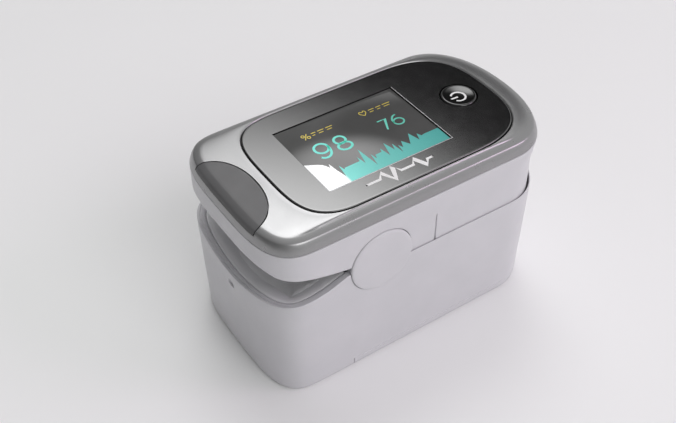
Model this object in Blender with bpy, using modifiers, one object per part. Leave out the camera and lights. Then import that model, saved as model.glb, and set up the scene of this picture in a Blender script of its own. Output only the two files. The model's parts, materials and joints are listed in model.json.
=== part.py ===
"""Fingertip pulse oximeter: a spring clip of two halves that pivot on two short side pins.

Row frame: +X runs from the finger mouth to the squeezed rear end, +Y is the left side, +Z is up.
The origin is the middle of the face the clip stands on. Lengths below are in millimetres.
"""

import math

import bmesh
import bpy
from mathutils import Vector

MM = 0.001

# ---- driving dimensions (mm) ----
LENGTH = 58.0
WIDTH = 32.5
BEZEL_BOTTOM = 32.33
BEZEL_TOP = 34.95
LENS_TOP = 35.08
PARTING = 22.2            # rear parting line between the two halves
DRAFT = 0.57              # the base narrows this much per side towards the floor
WALL = 1.6
RIM = 0.45                # thin rear rim of the base that the upper skirt slides inside
SKIRT_INSET = 0.62        # the upper half's rear skirt, measured in from the outside
SKIRT_BOTTOM = 20.7
MARK_X = 1.7              # narrow upright groove in the upper side wall
PIVOT_X, PIVOT_Z = -9.17, 23.7
CAP_R = 5.9
DOOR_X = -14.2            # front edge of the battery door
DOOR_LIP = 2.0
CELL_R, CELL_Y, CELL_Z = 5.25, 5.7, 6.95
CELL_X0, CELL_X1 = -22.2, 21.1
SENSOR_X = -2.0
BUTTON_X = 18.25
SCREEN = (-14.04, 9.86, 8.6)   # screen glass: x from, x to, half width
FINGER_END = 8.0

for old in list(bpy.data.objects):
    bpy.data.objects.remove(old)

scene = bpy.context.scene
parts = bpy.data.collections.new("fingertip_pulse_oximeter")
tools = bpy.data.collections.new("cutters")
scene.collection.children.link(parts)
scene.collection.children.link(tools)


# ---------------------------------------------------------------- helpers
def material(name, colour, roughness, metallic=0.0, alpha=1.0):
    m = bpy.data.materials.new(name)
    m.use_nodes = True
    b = m.node_tree.nodes["Principled BSDF"]
    b.inputs["Base Color"].default_value = (*colour, 1.0)
    b.inputs["Roughness"].default_value = roughness
    b.inputs["Metallic"].default_value = metallic
    b.inputs["Alpha"].default_value = alpha
    m.diffuse_color = (*colour, alpha)
    return m


MAT = {
    "silver": material("silver_paint", (0.55, 0.55, 0.56), 0.28, 0.6),
    "grip": material("grip_grey", (0.20, 0.20, 0.21), 0.45, 0.3),
    "white": material("white_abs", (0.74, 0.74, 0.76), 0.35),
    "lens": material("tinted_lens", (0.03, 0.03, 0.032), 0.08),
    "glass": material("screen_glass", (0.05, 0.06, 0.065), 0.05),
    "button": material("button_black", (0.012, 0.012, 0.012), 0.15),
    "silicone": material("silicone_grey", (0.42, 0.43, 0.45), 0.6),
    "board": material("board_green", (0.02, 0.16, 0.07), 0.45),
    "chip": material("chip_black", (0.02, 0.02, 0.022), 0.5),
    "steel": material("steel", (0.62, 0.62, 0.64), 0.25, 1.0),
    "gold": material("contact_gold", (0.75, 0.6, 0.3), 0.3, 1.0),
    "frame": material("frame_grey", (0.30, 0.31, 0.33), 0.5),
    "cell": material("cell_jacket", (0.10, 0.22, 0.42), 0.35),
    "clear": material("clear_window", (0.8, 0.82, 0.85), 0.05, 0.0, 0.4),
    "flex": material("flex_amber", (0.45, 0.22, 0.04), 0.4),
    "red": material("lead_red", (0.5, 0.03, 0.03), 0.45),
    "black": material("lead_black", (0.02, 0.02, 0.02), 0.45),
}


def add(name, mesh, collection, mat=None):
    o = bpy.data.objects.new(name, mesh)
    collection.objects.link(o)
    if collection is tools:
        o.hide_render = True
        o.display_type = "WIRE"
    if mat:
        mesh.materials.clear()
        mesh.materials.append(MAT[mat])
    return o


def from_bmesh(name, bm, collection, mat=None, smooth=None):
    bmesh.ops.recalc_face_normals(bm, faces=bm.faces)
    mesh = bpy.data.meshes.new(name)
    bm.to_mesh(mesh)
    bm.free()
    o = add(name, mesh, collection, mat)
    if smooth:
        mesh.shade_smooth()
        mesh.set_sharp_from_angle(angle=math.radians(smooth))
    return o


def loft(name, rings, collection, mat=None, smooth=35):
    """A closed solid drawn through rings of points, by extruding one edge loop from ring to ring."""
    bm = bmesh.new()
    verts = [bm.verts.new(Vector(p) * MM) for p in rings[0]]
    n = len(verts)
    edges = [bm.edges.new((verts[i], verts[(i + 1) % n])) for i in range(n)]
    bmesh.ops.contextual_create(bm, geom=edges)
    for ring in rings[1:]:
        done = bmesh.ops.extrude_edge_only(bm, edges=edges)
        fresh = [g for g in done["geom"] if isinstance(g, bmesh.types.BMVert)]
        new_edges = [g for g in done["geom"] if isinstance(g, bmesh.types.BMEdge)]
        where = {tuple(round(c, 7) for c in v.co): v for v in fresh}
        ordered = [where[tuple(round(c, 7) for c in v.co)] for v in verts]
        for v, p in zip(ordered, ring):
            v.co = Vector(p) * MM
        verts = ordered
        loop = {frozenset((verts[i], verts[(i + 1) % n])) for i in range(n)}
        edges = [e for e in new_edges if frozenset(e.verts) in loop]
    bmesh.ops.contextual_create(bm, geom=edges)
    return from_bmesh(name, bm, collection, mat, smooth)


def box(name, x0, x1, y0, y1, z0, z1, collection, mat=None, bevel=0.0):
    bm = bmesh.new()
    bmesh.ops.create_cube(bm, size=1.0)
    for v in bm.verts:
        v.co = Vector(
            (
                (x0 + x1) / 2 + v.co.x * (x1 - x0),
                (y0 + y1) / 2 + v.co.y * (y1 - y0),
                (z0 + z1) / 2 + v.co.z * (z1 - z0),
            )
        ) * MM
    o = from_bmesh(name, bm, collection, mat)
    if bevel:
        m = o.modifiers.new("edges", "BEVEL")
        m.width = bevel * MM
        m.segments = 1
    return o


def rod(name, centre, radius, length, axis, collection, mat=None, segments=24, radius2=None):
    """A cylinder or cone along X, Y or Z, centred on centre."""
    bm = bmesh.new()
    bmesh.ops.create_cone(
        bm,
        cap_ends=True,
        segments=segments,
        radius1=radius * MM,
        radius2=(radius if radius2 is None else radius2) * MM,
        depth=length * MM,
    )
    for v in bm.verts:
        x, y, z = v.co
        if axis == "X":
            v.co = (z, y, -x)
        elif axis == "Y":
            v.co = (x, z, -y)
        v.co += Vector(centre) * MM
    return from_bmesh(name, bm, collection, mat, 35)


def turned(name, profile, origin, axis, collection, mat=None, steps=32):
    """A turned piece: a profile of (radius, height) with a Screw modifier, its axis through origin."""
    mesh = bpy.data.meshes.new(name)
    pts = [(r * MM, 0.0, h * MM) for r, h in profile]
    mesh.from_pydata(pts, [(i, i + 1) for i in range(len(pts) - 1)], [])
    o = add(name, mesh, collection, mat)
    s = o.modifiers.new("turn", "SCREW")
    s.axis = "Z"
    s.angle = math.tau
    s.steps = s.render_steps = steps
    s.use_merge_vertices = True
    s.merge_threshold = 0.00002
    s.use_smooth_shade = True
    o.location = Vector(origin) * MM
    if axis == "Y":
        o.rotation_euler = (-math.pi / 2, 0, 0)
    elif axis == "-Y":
        o.rotation_euler = (math.pi / 2, 0, 0)
    elif axis == "X":
        o.rotation_euler = (0, math.pi / 2, 0)
    elif axis == "-X":
        o.rotation_euler = (0, -math.pi / 2, 0)
    return o


def cut(o, other, operation="DIFFERENCE"):
    m = o.modifiers.new(operation.lower() + "_" + other.name, "BOOLEAN")
    m.operation = operation
    m.solver = "EXACT"
    m.object = other
    return o


def wire(name, points, radius, collection, mat, resolution=1):
    """A round wire: a POLY curve with a bevel and filled caps, made a mesh with its caps welded."""
    c = bpy.data.curves.new(name, "CURVE")
    c.dimensions = "3D"
    c.bevel_depth = radius * MM
    c.bevel_resolution = resolution
    c.use_fill_caps = True
    s = c.splines.new("POLY")
    s.points.add(len(points) - 1)
    for q, p in zip(s.points, points):
        q.co = (*(Vector(p) * MM), 1.0)
    guide = bpy.data.objects.new(name + "_path", c)
    collection.objects.link(guide)
    bpy.context.view_layer.update()
    mesh = bpy.data.meshes.new_from_object(guide.evaluated_get(bpy.context.evaluated_depsgraph_get()))
    bpy.data.objects.remove(guide)
    bm = bmesh.new()
    bm.from_mesh(mesh)
    bmesh.ops.remove_doubles(bm, verts=bm.verts, dist=1e-7)
    return from_bmesh(name, bm, collection, mat, 50)


def smoothstep(a, b, x):
    t = min(1.0, max(0.0, (x - a) / (b - a)))
    return t * t * (3 - 2 * t)


def through(points, x):
    """Straight-line table look-up."""
    for (x0, y0), (x1, y1) in zip(points, points[1:]):
        if x <= x1:
            return y0 + (y1 - y0) * max(0.0, (x - x0)) / (x1 - x0)
    return points[-1][1]


# ---------------------------------------------------------------- plan outlines
def plan(x_front, x_rear, width, a_front, n_front, a_rear, n_rear, count, extra=()):
    """Points and outward normals round a plan with straight sides and a superellipse at each end.
    They are spread evenly in the direction they face, so corners get the points, and extra adds stations on the sides."""
    dense = []
    m = 600
    for k in range(m + 1):
        t = math.pi / 2 * k / m
        c, s = math.cos(t), math.sin(t)
        dense.append((x_rear - a_rear + a_rear * c ** (2 / n_rear), width / 2 * s ** (2 / n_rear)))
    for k in range(m + 1):
        t = math.pi / 2 * (1 - k / m)
        c, s = math.cos(t), math.sin(t)
        dense.append((x_front + a_front - a_front * c ** (2 / n_front), width / 2 * s ** (2 / n_front)))
    path = [dense[0]]
    for p in dense[1:]:
        if math.hypot(p[0] - path[-1][0], p[1] - path[-1][1]) > 1e-6:
            path.append(p)
    measure, angle = [0.0], None
    for i in range(1, len(path)):
        dx, dy = path[i][0] - path[i - 1][0], path[i][1] - path[i - 1][1]
        now = math.atan2(dy, dx)
        turn = 0.0 if angle is None else abs(now - angle)
        angle = now
        straight = math.hypot(dx, dy) > 5.0
        measure.append(measure[-1] + turn + (0.0 if straight else 0.012 * math.hypot(dx, dy)))
    half = count // 2
    picks = []
    for k in range(half):
        goal = measure[-1] * (k + 0.5) / half
        i = next((j for j in range(1, len(measure)) if measure[j] >= goal - 1e-12), len(measure) - 1)
        span = measure[i] - measure[i - 1]
        f = 0.0 if span <= 0 else (goal - measure[i - 1]) / span
        if math.hypot(path[i][0] - path[i - 1][0], path[i][1] - path[i - 1][1]) > 5.0:
            f = round(f)
        x = path[i - 1][0] + f * (path[i][0] - path[i - 1][0])
        y = path[i - 1][1] + f * (path[i][1] - path[i - 1][1])
        dx, dy = path[i][0] - path[i - 1][0], path[i][1] - path[i - 1][1]
        d = math.hypot(dx, dy)
        picks.append([x, y, dy / d, -dx / d])
    picks[0][0], picks[0][2:] = x_rear, [1.0, 0.0]
    picks[-1][0], picks[-1][2:] = x_front, [-1.0, 0.0]
    side = [[x, width / 2, 0.0, 1.0] for x in extra]
    upper = sorted(
        [p for p in picks if not any(abs(p[0] - e[0]) < 0.35 and abs(p[1] - width / 2) < 0.2 for e in side)] + side,
        key=lambda p: -p[0],
    )
    return upper + [[p[0], -p[1], p[2], -p[3]] for p in reversed(upper)]


def ring(outline, inset, z, front=1.0, rear=1.0):
    """The outline drawn in by inset, at height z. inset and z are numbers or functions of (x, y)."""
    out = []
    for x, y, nx, ny in outline:
        i = inset(x, y, nx) if callable(inset) else inset
        h = z(x, y) if callable(z) else z
        k = front if nx < 0 else rear
        out.append((x - nx * i * (1 + (k - 1) * abs(nx)), y - ny * i, h))
    return out


STATIONS = (-15.2, -12.0, -9.17, -6.0, -3.4, 2.6, 9.0)
BODY = plan(-LENGTH / 2, LENGTH / 2, WIDTH, 9.8, 3.6, 10.95, 2.235, 40, STATIONS)
LENS = plan(-20.3, 24.0, 27.35, 12.0, 3.63, 14.45, 2.95, 36)


def half_width(x, inset=0.0):
    """Half the body's width at x, less inset."""
    if x < -LENGTH / 2 + 9.8:
        u = (-LENGTH / 2 + 9.8 - x) / 9.8
        return WIDTH / 2 * max(0.0, 1 - u**3.6) ** (1 / 3.6) - inset
    if x > LENGTH / 2 - 10.95:
        u = (x - LENGTH / 2 + 10.95) / 10.95
        return WIDTH / 2 * max(0.0, 1 - u**2.235) ** (1 / 2.235) - inset
    return WIDTH / 2 - inset


def front_x(y, inset):
    """The front end's x at y, drawn in by inset."""
    b = WIDTH / 2 - inset
    u = min(1.0, abs(y) / b)
    return -LENGTH / 2 + 9.8 - (9.8 - inset) * (1 - u**3.6) ** (1 / 3.6)


def lip(x):
    """Lower edge of the upper half, from the pivot to the mouth."""
    return 24.9 + 0.225 * (-15.65 - x)


RIM_LINE = [(-29.0, 19.0), (-28.4, 19.4), (-26.8, 20.3), (-25.0, 20.9), (-23.4, 21.4), (-19.25, 22.2),
            (-17.6, 22.8), (-16.5, 23.2), (-15.2, 23.6), (-10.0, 23.2), (-3.4, PARTING), (29.0, PARTING)]


def rim(x, y=0.0):
    """Upper edge of the base: low across the mouth, high at the pivots, level at the rear."""
    return through(RIM_LINE, x)


# ---------------------------------------------------------------- base half
def base_draft(z):
    return DRAFT * max(0.0, 1 - z / PARTING)


def inner_rim(x, y, nx):
    """The rear rim is thin, so that the upper skirt slides inside it."""
    return RIM if x > -4.5 else WALL


lower = loft(
    "lower_housing",
    [
        ring(BODY, DRAFT + 0.7, 0.0),
        ring(BODY, DRAFT + 0.2, 0.25),
        ring(BODY, DRAFT, 0.8),
        ring(BODY, 0.25, 12.0),
        ring(BODY, 0.06, lambda x, y: rim(x) - 0.35),
        ring(BODY, 0.2, lambda x, y: rim(x)),
        ring(BODY, lambda x, y, nx: inner_rim(x, y, nx) - 0.12, lambda x, y: rim(x)),
        ring(BODY, inner_rim, lambda x, y: rim(x) - 0.3),
        ring(BODY, lambda x, y, nx: inner_rim(x, y, nx) + 0.05, 13.6),
        ring(BODY, lambda x, y, nx: WALL + 0.2, 13.0),
        ring(BODY, DRAFT + WALL, 1.5),
    ],
    parts,
    "white",
)
for side, s in (("left", 1), ("right", -1)):
    ear = rod(f"ear_{side}", (PIVOT_X, s * 14.95, PIVOT_Z), 5.6, 1.9, "Y", tools, segments=40)
    cut(lower, ear, "UNION")
for side, s in (("left", 1), ("right", -1)):
    seat = rod(f"cap_seat_{side}", (PIVOT_X, s * 17.35, PIVOT_Z), CAP_R + 0.14, 3.1, "Y", tools, segments=48)
    cut(lower, seat)
    hole = rod(f"ear_hole_{side}", (PIVOT_X, s * 15.0, PIVOT_Z), 1.5, 5.0, "Y", tools, segments=16)
    cut(lower, hole)
# battery opening, with a ledge the door hooks under, and the step the door's lip covers
cut(lower, box("door_step", DOOR_X, 34.0, -20.0, 20.0, -1.0, DOOR_LIP, tools))
cut(lower, box("battery_opening", DOOR_X + 0.8, 23.6, -12.2, 12.2, -1.0, 2.2, tools))
# bosses for the tray screws, in the two front corners
for i, s in ((1, 1), (2, -1)):
    boss = rod(f"tray_boss_{i}", (-24.2, s * 10.6, 5.6), 1.7, 8.4, "Z", tools, segments=20)
    cut(lower, boss, "UNION")
    cut(lower, rod(f"tray_boss_hole_{i}", (-24.2, s * 10.6, 8.0), 0.85, 6.0, "Z", tools, segments=12))
# shallow dimple in the middle of the front face, under the rim
dimple = rod("front_dimple", (-29.35, 0.0, 16.7), 1.05, 3.8, "Y", tools, segments=20)
cut(lower, dimple)

door = loft(
    "battery_door",
    [
        ring(BODY, DRAFT + 0.7, 0.0),
        ring(BODY, DRAFT + 0.2, 0.25),
        ring(BODY, DRAFT, 0.8),
        ring(BODY, base_draft(DOOR_LIP) + 0.02, DOOR_LIP - 0.14),
        ring(BODY, base_draft(DOOR_LIP) + 1.25, DOOR_LIP - 0.14),
        ring(BODY, DRAFT + 1.4, 1.2),
    ],
    parts,
    "white",
)
cut(door, box("door_front_end", -34.0, DOOR_X + 0.14, -20.0, 20.0, -1.0, 5.0, tools))
for side, s in (("left", 1), ("right", -1)):
    rail = box(f"door_rib_{side}", DOOR_X + 1.2, 19.0, s * 11.4 - 0.5, s * 11.4 + 0.5, 1.0, 1.86, tools)
    cut(door, rail, "UNION")

# battery tray: an upside-down box that holds the two cells and closes the battery space
tray = loft(
    "battery_tray",
    [
        ring(BODY, 2.5, 2.5),
        ring(BODY, 2.35, 13.7),
    ],
    parts,
    "frame",
)
tray_hollow = loft("tray_hollow", [ring(BODY, 3.45, 1.0), ring(BODY, 3.45, 12.6)], tools)
cut(tray, tray_hollow)
for i, s in ((1, 1), (2, -1)):
    cut(tray, rod(f"tray_corner_{i}", (-24.2, s * 10.6, 5.0), 1.95, 9.9, "Z", tools, segments=20))
    cut(tray, rod(f"tray_screw_hole_{i}", (-24.2, s * 10.6, 13.0), 1.05, 8.0, "Z", tools, segments=16))
cut(tray, rod("frame_boss", (11.2, 0.0, 12.0), 1.15, 2.4, "Z", tools, segments=16), "UNION")
cut(tray, rod("frame_boss_hole", (11.2, 0.0, 12.4), 0.72, 3.6, "Z", tools, segments=12))


# ---------------------------------------------------------------- finger pads and their carriers
LOWER_HALF, UPPER_HALF = 14.1, 12.9


def pad_half(x, wide):
    """Half width of the pads: wide in the mouth, narrow between the springs."""
    return wide + (8.9 - wide) * smoothstep(-16.8, -14.8, x)


def lower_surface(x, y):
    """The finger trough in the base."""
    centre = 16.2 + 2.1 * smoothstep(-20.5, -27.0, x)
    edge = min(20.0 + (rim(x) - 0.35 - 20.0) * smoothstep(-14.0, -17.0, x), 22.9)
    trough = min(1.0, abs(y) / 10.4)
    z = centre + (edge - centre) * trough**2.2
    return z


def upper_surface(x, y):
    """The arch over the finger."""
    v = min(1.0, abs(y) / pad_half(x, UPPER_HALF))
    side = 23.6 + (lip(x) + 0.25 - 23.6) * smoothstep(-14.0, -17.0, x)
    return 27.85 - (27.85 - side) * v**2.4


def sheet(name, surface, wide, thickness, x_end, inset, collection, mat, nx=13, ny=12, up=False):
    """A grid bent to a surface and thickened by Solidify."""
    bm = bmesh.new()
    bmesh.ops.create_grid(bm, x_segments=nx, y_segments=ny, size=1.0)
    for v in bm.verts:
        u, w = (v.co.x + 1) / 2, v.co.y
        y0 = w * wide
        xf = front_x(y0, inset)
        # stations crowd towards the mouth, where the surface changes most
        x = xf + (x_end - xf) * u**1.25
        y = w * pad_half(x, wide)
        v.co = Vector((x, y, surface(x, y))) * MM
    mesh = bpy.data.meshes.new(name)
    bm.normal_update()
    if sum(f.normal.z for f in bm.faces) < 0:
        bmesh.ops.reverse_faces(bm, faces=bm.faces)
    bm.to_mesh(mesh)
    bm.free()
    o = add(name, mesh, collection, mat)
    mesh.shade_smooth()
    s = o.modifiers.new("thickness", "SOLIDIFY")
    s.thickness = thickness * MM
    s.offset = 1.0 if up else -1.0
    s.use_even_offset = False
    return o


lower_pad = sheet("lower_finger_pad", lower_surface, LOWER_HALF, 1.0, FINGER_END, 2.25, parts, "silicone")
lower_frame = box("lower_pad_frame", -24.6, 13.6, -8.4, 8.4, 14.0, 14.9, parts, "frame")
upper_pad = sheet("upper_finger_pad", upper_surface, UPPER_HALF, 0.8, FINGER_END, 3.3, parts, "silicone", up=True)
cut(lower_pad, box("lower_pad_window", SENSOR_X - 2.4, SENSOR_X + 2.4, -2.4, 2.4, 13.0, 18.0, tools))
cut(upper_pad, box("upper_pad_window", SENSOR_X - 2.4, SENSOR_X + 2.4, -2.4, 2.4, 26.0, 31.0, tools))
cut(lower_frame, box("frame_window", SENSOR_X - 4.2, SENSOR_X + 4.2, -3.3, 3.3, 12.0, 18.0, tools))
# the frame lies on the battery tray; its rails carry the raised edges of the pad
for side, s in (("left", 1), ("right", -1)):
    cut(lower_frame, box(f"frame_wing_{side}", -21.4, -16.4, s * 10.2 - 2.6, s * 10.2 + 2.6, 14.0, 14.9, tools), "UNION")
    cut(lower_frame, box(f"frame_front_rail_{side}", -20.9, -17.4, s * 11.6 - 0.6, s * 11.6 + 0.6, 14.4, 19.6, tools), "UNION")
    cut(lower_frame, box(f"frame_rail_{side}", -13.6, 7.4, s * 7.7 - 0.45, s * 7.7 + 0.45, 14.4, 16.4, tools), "UNION")
cut(lower_frame, rod("frame_rear_hole", (11.2, 0, 14.5), 1.0, 4.0, "Z", tools, segments=16))

box("lower_sensor_window", SENSOR_X - 2.2, SENSOR_X + 2.2, -2.2, 2.2, 15.62, 16.3, parts, "clear", 0.15)
box("photodiode", SENSOR_X - 1.5, SENSOR_X + 1.5, -1.5, 1.5, 14.7, 15.45, parts, "chip", 0.1)
box("photodiode_board", SENSOR_X - 3.9, SENSOR_X + 3.9, -3.0, 3.0, 13.95, 14.55, parts, "board")


# ---------------------------------------------------------------- upper half
def recess(x, z):
    """How far the upper side wall stands in from the outside, behind the pivots."""
    return SKIRT_INSET * smoothstep(32.1, 28.6, z) * smoothstep(-9.5, -2.6, x)


def upper_inset(z):
    def inset(x, y, nx):
        return recess(x, z) + 0.45 * max(0.0, nx) ** 2 * smoothstep(32.1, 28.6, z)
    return inset


levels = [SKIRT_BOTTOM, 24.0, 28.6, 29.3, 30.1, 30.9, 31.6, BEZEL_BOTTOM - 0.12]
upper = loft("upper_housing", [ring(BODY, upper_inset(z), z) for z in levels], parts, "white")
top_hollow = loft("upper_top_hollow", [ring(BODY, WALL, 30.2), ring(BODY, WALL, 36.0)], tools)
cut(upper, top_hollow)
rear_hollow = loft("upper_rear_hollow", [ring(BODY, 2.6, 18.0), ring(BODY, 2.4, 27.6), ring(BODY, 1.95, 29.0)], tools)
cut(upper, rear_hollow)
# everything under the mouth's lip and round the pivots is open
mouth = bpy.data.curves.new("mouth_cut", "CURVE")
mouth.dimensions = "2D"
mouth.fill_mode = "BOTH"
mouth.extrude = 20 * MM
spline = mouth.splines.new("POLY")
corners = [(-36, 16), (-2.6, 16), (-2.6, 24.0), (-9.17, 24.5), (-15.65, lip(-15.65)), (-29.5, lip(-29.5)), (-36, lip(-36))]
spline.points.add(len(corners) - 1)
for q, (x, z) in zip(spline.points, corners):
    q.co = (x * MM, z * MM, 0, 1)
spline.use_cyclic_u = True
guide = bpy.data.objects.new("mouth_guide", mouth)
tools.objects.link(guide)
guide.hide_render = True
bpy.context.view_layer.update()
flat = bpy.data.meshes.new_from_object(guide.evaluated_get(bpy.context.evaluated_depsgraph_get()))
bpy.data.objects.remove(guide)
bm = bmesh.new()
bm.from_mesh(flat)
bmesh.ops.remove_doubles(bm, verts=bm.verts, dist=1e-7)
for v in bm.verts:
    v.co = (v.co.x, -v.co.z, v.co.y)
mouth_cut = from_bmesh("mouth_cut", bm, tools)
cut(upper, mouth_cut)
for side, s in (("left", 1), ("right", -1)):
    notch = rod(f"pivot_notch_{side}", (PIVOT_X, s * 16.8, PIVOT_Z), CAP_R + 0.2, 6.0, "Y", tools, segments=48)
    cut(upper, notch)
    lug = rod(f"lug_{side}", (PIVOT_X, s * 13.15, PIVOT_Z), 4.2, 1.2, "Y", tools, segments=28)
    web = box(f"lug_web_{side}", PIVOT_X - 4.0, PIVOT_X + 4.0, s * 13.15 - 0.6, s * 13.15 + 0.6, PIVOT_Z, 30.9, tools)
    bridge = box(f"lug_bridge_{side}", PIVOT_X - 3.8, PIVOT_X + 3.8, s * 14.1 - 1.5, s * 14.1 + 1.5, 29.96, 30.8, tools)
    for piece in (lug, web, bridge):
        cut(upper, piece, "UNION")
    cut(upper, rod(f"lug_hole_{side}", (PIVOT_X, s * 13.1, PIVOT_Z), 1.52, 3.0, "Y", tools, segments=20))
    cut(upper, box(f"wall_mark_{side}", MARK_X - 0.17, MARK_X + 0.17, s * 16.3 - 0.98, s * 16.3 + 0.98, 19.0, 27.9, tools))
# wall that stops the fingertip
cut(upper, box("finger_stop", 9.6, 10.8, -11.0, 11.0, 21.2, 29.6, tools), "UNION")
cut(upper, box("emitter_opening", SENSOR_X - 4.2, SENSOR_X + 4.2, -3.3, 3.3, 26.0, 33.0, tools))
cut(upper, box("lead_slot", 11.6, 13.6, -7.0, 7.0, 26.0, 33.0, tools))
SCREWS = ((-23.4, 9.2), (-23.4, -9.2), (23.2, 7.4), (23.2, -7.4))
for i, (x, y) in enumerate(SCREWS, 1):
    cut(upper, rod(f"screw_way_{i}", (x, y, 30.0), 1.05, 6.0, "Z", tools, segments=16))
    cut(upper, rod(f"screw_counterbore_{i}", (x, y, 28.6), 1.8, 1.7, "Z", tools, segments=20))

led_z = 29.35
box("led_board", SENSOR_X - 3.9, SENSOR_X + 3.9, -3.0, 3.0, led_z, led_z + 0.6, parts, "board")
box("led_emitter", SENSOR_X - 1.4, SENSOR_X + 1.4, -1.1, 1.1, 28.62, led_z - 0.1, parts, "clear", 0.1)
box("upper_sensor_window", SENSOR_X - 2.2, SENSOR_X + 2.2, -2.2, 2.2, 27.75, 28.45, parts, "clear", 0.15)

# ---- silver bezel
def bezel_ring(inset, z, front=1.0):
    return ring(BODY, inset, z, front=front)


bezel = loft(
    "top_bezel",
    [
        bezel_ring(0.0, BEZEL_BOTTOM, 1.0),
        bezel_ring(0.45, 33.6, 1.35),
        bezel_ring(0.8, 34.35, 1.45),
        bezel_ring(1.1, 34.68, 1.5),
        bezel_ring(1.6, 34.87, 1.5),
        bezel_ring(2.3, BEZEL_TOP, 1.4),
    ],
    parts,
    "silver",
)
bezel_hollow = loft("bezel_hollow", [ring(BODY, 1.75, 31.0), ring(BODY, 1.75, 32.4), ring(BODY, 2.3, 33.2)], tools)
cut(bezel, bezel_hollow)
for i, (x, y) in enumerate(SCREWS, 1):
    cut(bezel, rod(f"bezel_boss_{i}", (x, y, 32.1), 1.9, 2.8, "Z", tools, segments=20), "UNION")
    cut(bezel, rod(f"bezel_boss_hole_{i}", (x, y, 31.9), 0.85, 3.2, "Z", tools, segments=12))
lens_seat = loft("lens_seat", [ring(LENS, -0.22, 33.9), ring(LENS, -0.22, 37.0)], tools)
cut(bezel, lens_seat)
lens_way = loft("lens_way", [ring(LENS, 1.3, 31.0), ring(LENS, 1.3, 34.5)], tools)
cut(bezel, lens_way)


def grip_plan(grow, count=48):
    """Plan of the grip inlay: half an ellipse whose round end faces the screen."""
    cx, rx, ry = -28.3, 6.1 + grow, 9.4 + grow
    return [(cx + rx * math.cos(t), ry * math.sin(t)) for t in (math.tau * k / count for k in range(count))]


grip_cut = loft("grip_cut", [[(x, y, z) for x, y in grip_plan(0.14)] for z in (33.95, 38.0)], tools)
cut(bezel, grip_cut)
grip = loft(
    "front_grip_inlay",
    [
        bezel_ring(0.86, 34.05, 1.45),
        bezel_ring(0.92, 34.3, 1.45),
        bezel_ring(1.25, 34.6, 1.5),
        bezel_ring(1.75, 34.78, 1.5),
        bezel_ring(2.45, 34.86, 1.4),
    ],
    parts,
    "grip",
)
cut(grip, loft("grip_keep", [[(x, y, z) for x, y in grip_plan(-0.02)] for z in (30.0, 38.0)], tools), "INTERSECT")

# ---- lens panel, screen, button
lens = loft(
    "display_lens",
    [ring(LENS, 0.0, 34.0), ring(LENS, 0.0, 34.9), ring(LENS, 0.16, LENS_TOP)],
    parts,
    "lens",
)
cut(lens, box("screen_window", SCREEN[0] - 0.15, SCREEN[1] + 0.15, -SCREEN[2] - 0.15, SCREEN[2] + 0.15, 33.0, 37.0, tools))
cut(lens, rod("button_hole", (BUTTON_X, 0, 34.5), 3.4, 4.0, "Z", tools, segments=40))
box("screen_glass", SCREEN[0], SCREEN[1], -SCREEN[2], SCREEN[2], 33.98, 34.93, parts, "glass", 0.08)
module = box("display_module", SCREEN[0] - 1.3, SCREEN[1] + 2.2, -9.9, 9.9, 32.65, 33.8, parts, "chip", 0.2)

# the button's top is dished for the fingertip
turned(
    "power_button",
    [(0.0, 34.98), (1.0, 35.0), (1.9, 35.09), (2.5, 35.18), (2.78, 35.2), (3.02, 35.12), (3.18, 34.85), (3.18, 33.75),
     (3.9, 33.75), (3.9, 33.2), (1.0, 33.2), (1.0, 32.75), (0.0, 32.75)],
    (BUTTON_X, 0, 0), "Z", parts, "button", 28,
)
rod("switch_plunger", (BUTTON_X, 0, 32.3), 0.75, 0.8, "Z", parts, "chip", 16)
switch = box("tact_switch", BUTTON_X - 2.1, BUTTON_X + 2.1, -2.1, 2.1, 31.3, 32.35, parts, "steel", 0.15)
cut(switch, rod("switch_well", (BUTTON_X, 0, 32.2), 0.95, 1.4, "Z", tools, segments=20))

# ---- electronics
board = box("main_board", -17.5, 20.8, -12.4, 12.4, 30.35, 31.2, parts, "board")
board_bevel = board.modifiers.new("corners", "BEVEL")
board_bevel.width = 0.25 * MM
board_bevel.segments = 1
cut(board, box("board_slot", 11.8, 13.4, -6.8, 6.8, 29.0, 33.0, tools))
box("control_chip", -9.0, -3.0, -3.0, 3.0, 31.3, 32.2, parts, "chip", 0.12)
box("sensor_chip", 0.5, 4.5, 4.0, 8.0, 31.3, 32.1, parts, "chip", 0.12)
box("boost_coil", 1.0, 4.0, -8.0, -5.0, 31.3, 32.4, parts, "chip", 0.3)
rod("beeper", (-13.2, 6.2, 31.85), 3.0, 1.1, "Z", parts, "chip", 28)
box("flex_connector", 8.6, 11.2, -3.2, 3.2, 31.3, 32.2, parts, "white")

for i, (x, y) in enumerate(SCREWS, 1):
    turned(
        f"bezel_screw_{i}",
        [(0.0, 33.1), (0.5, 33.0), (0.72, 32.6), (0.72, 29.4), (1.45, 29.4), (1.45, 29.1), (1.1, 28.95), (0.0, 28.95)],
        (x, y, 0), "Z", parts, "steel", 16,
    )
for i, s in ((1, 1), (2, -1)):
    turned(
        f"tray_screw_{i}",
        [(0.0, 14.45), (1.0, 14.45), (1.4, 14.25), (1.4, 13.85), (0.72, 13.85), (0.72, 6.4), (0.5, 6.0), (0.0, 5.9)],
        (-24.2, s * 10.6, 0), "Z", parts, "steel", 16,
    )
turned(
    "frame_screw_rear",
    [(0.0, 15.75), (1.0, 15.75), (1.4, 15.55), (1.4, 15.1), (0.62, 15.1), (0.62, 11.4), (0.45, 11.1), (0.0, 11.0)],
    (11.2, 0, 0), "Z", parts, "steel", 16,
)

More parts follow.
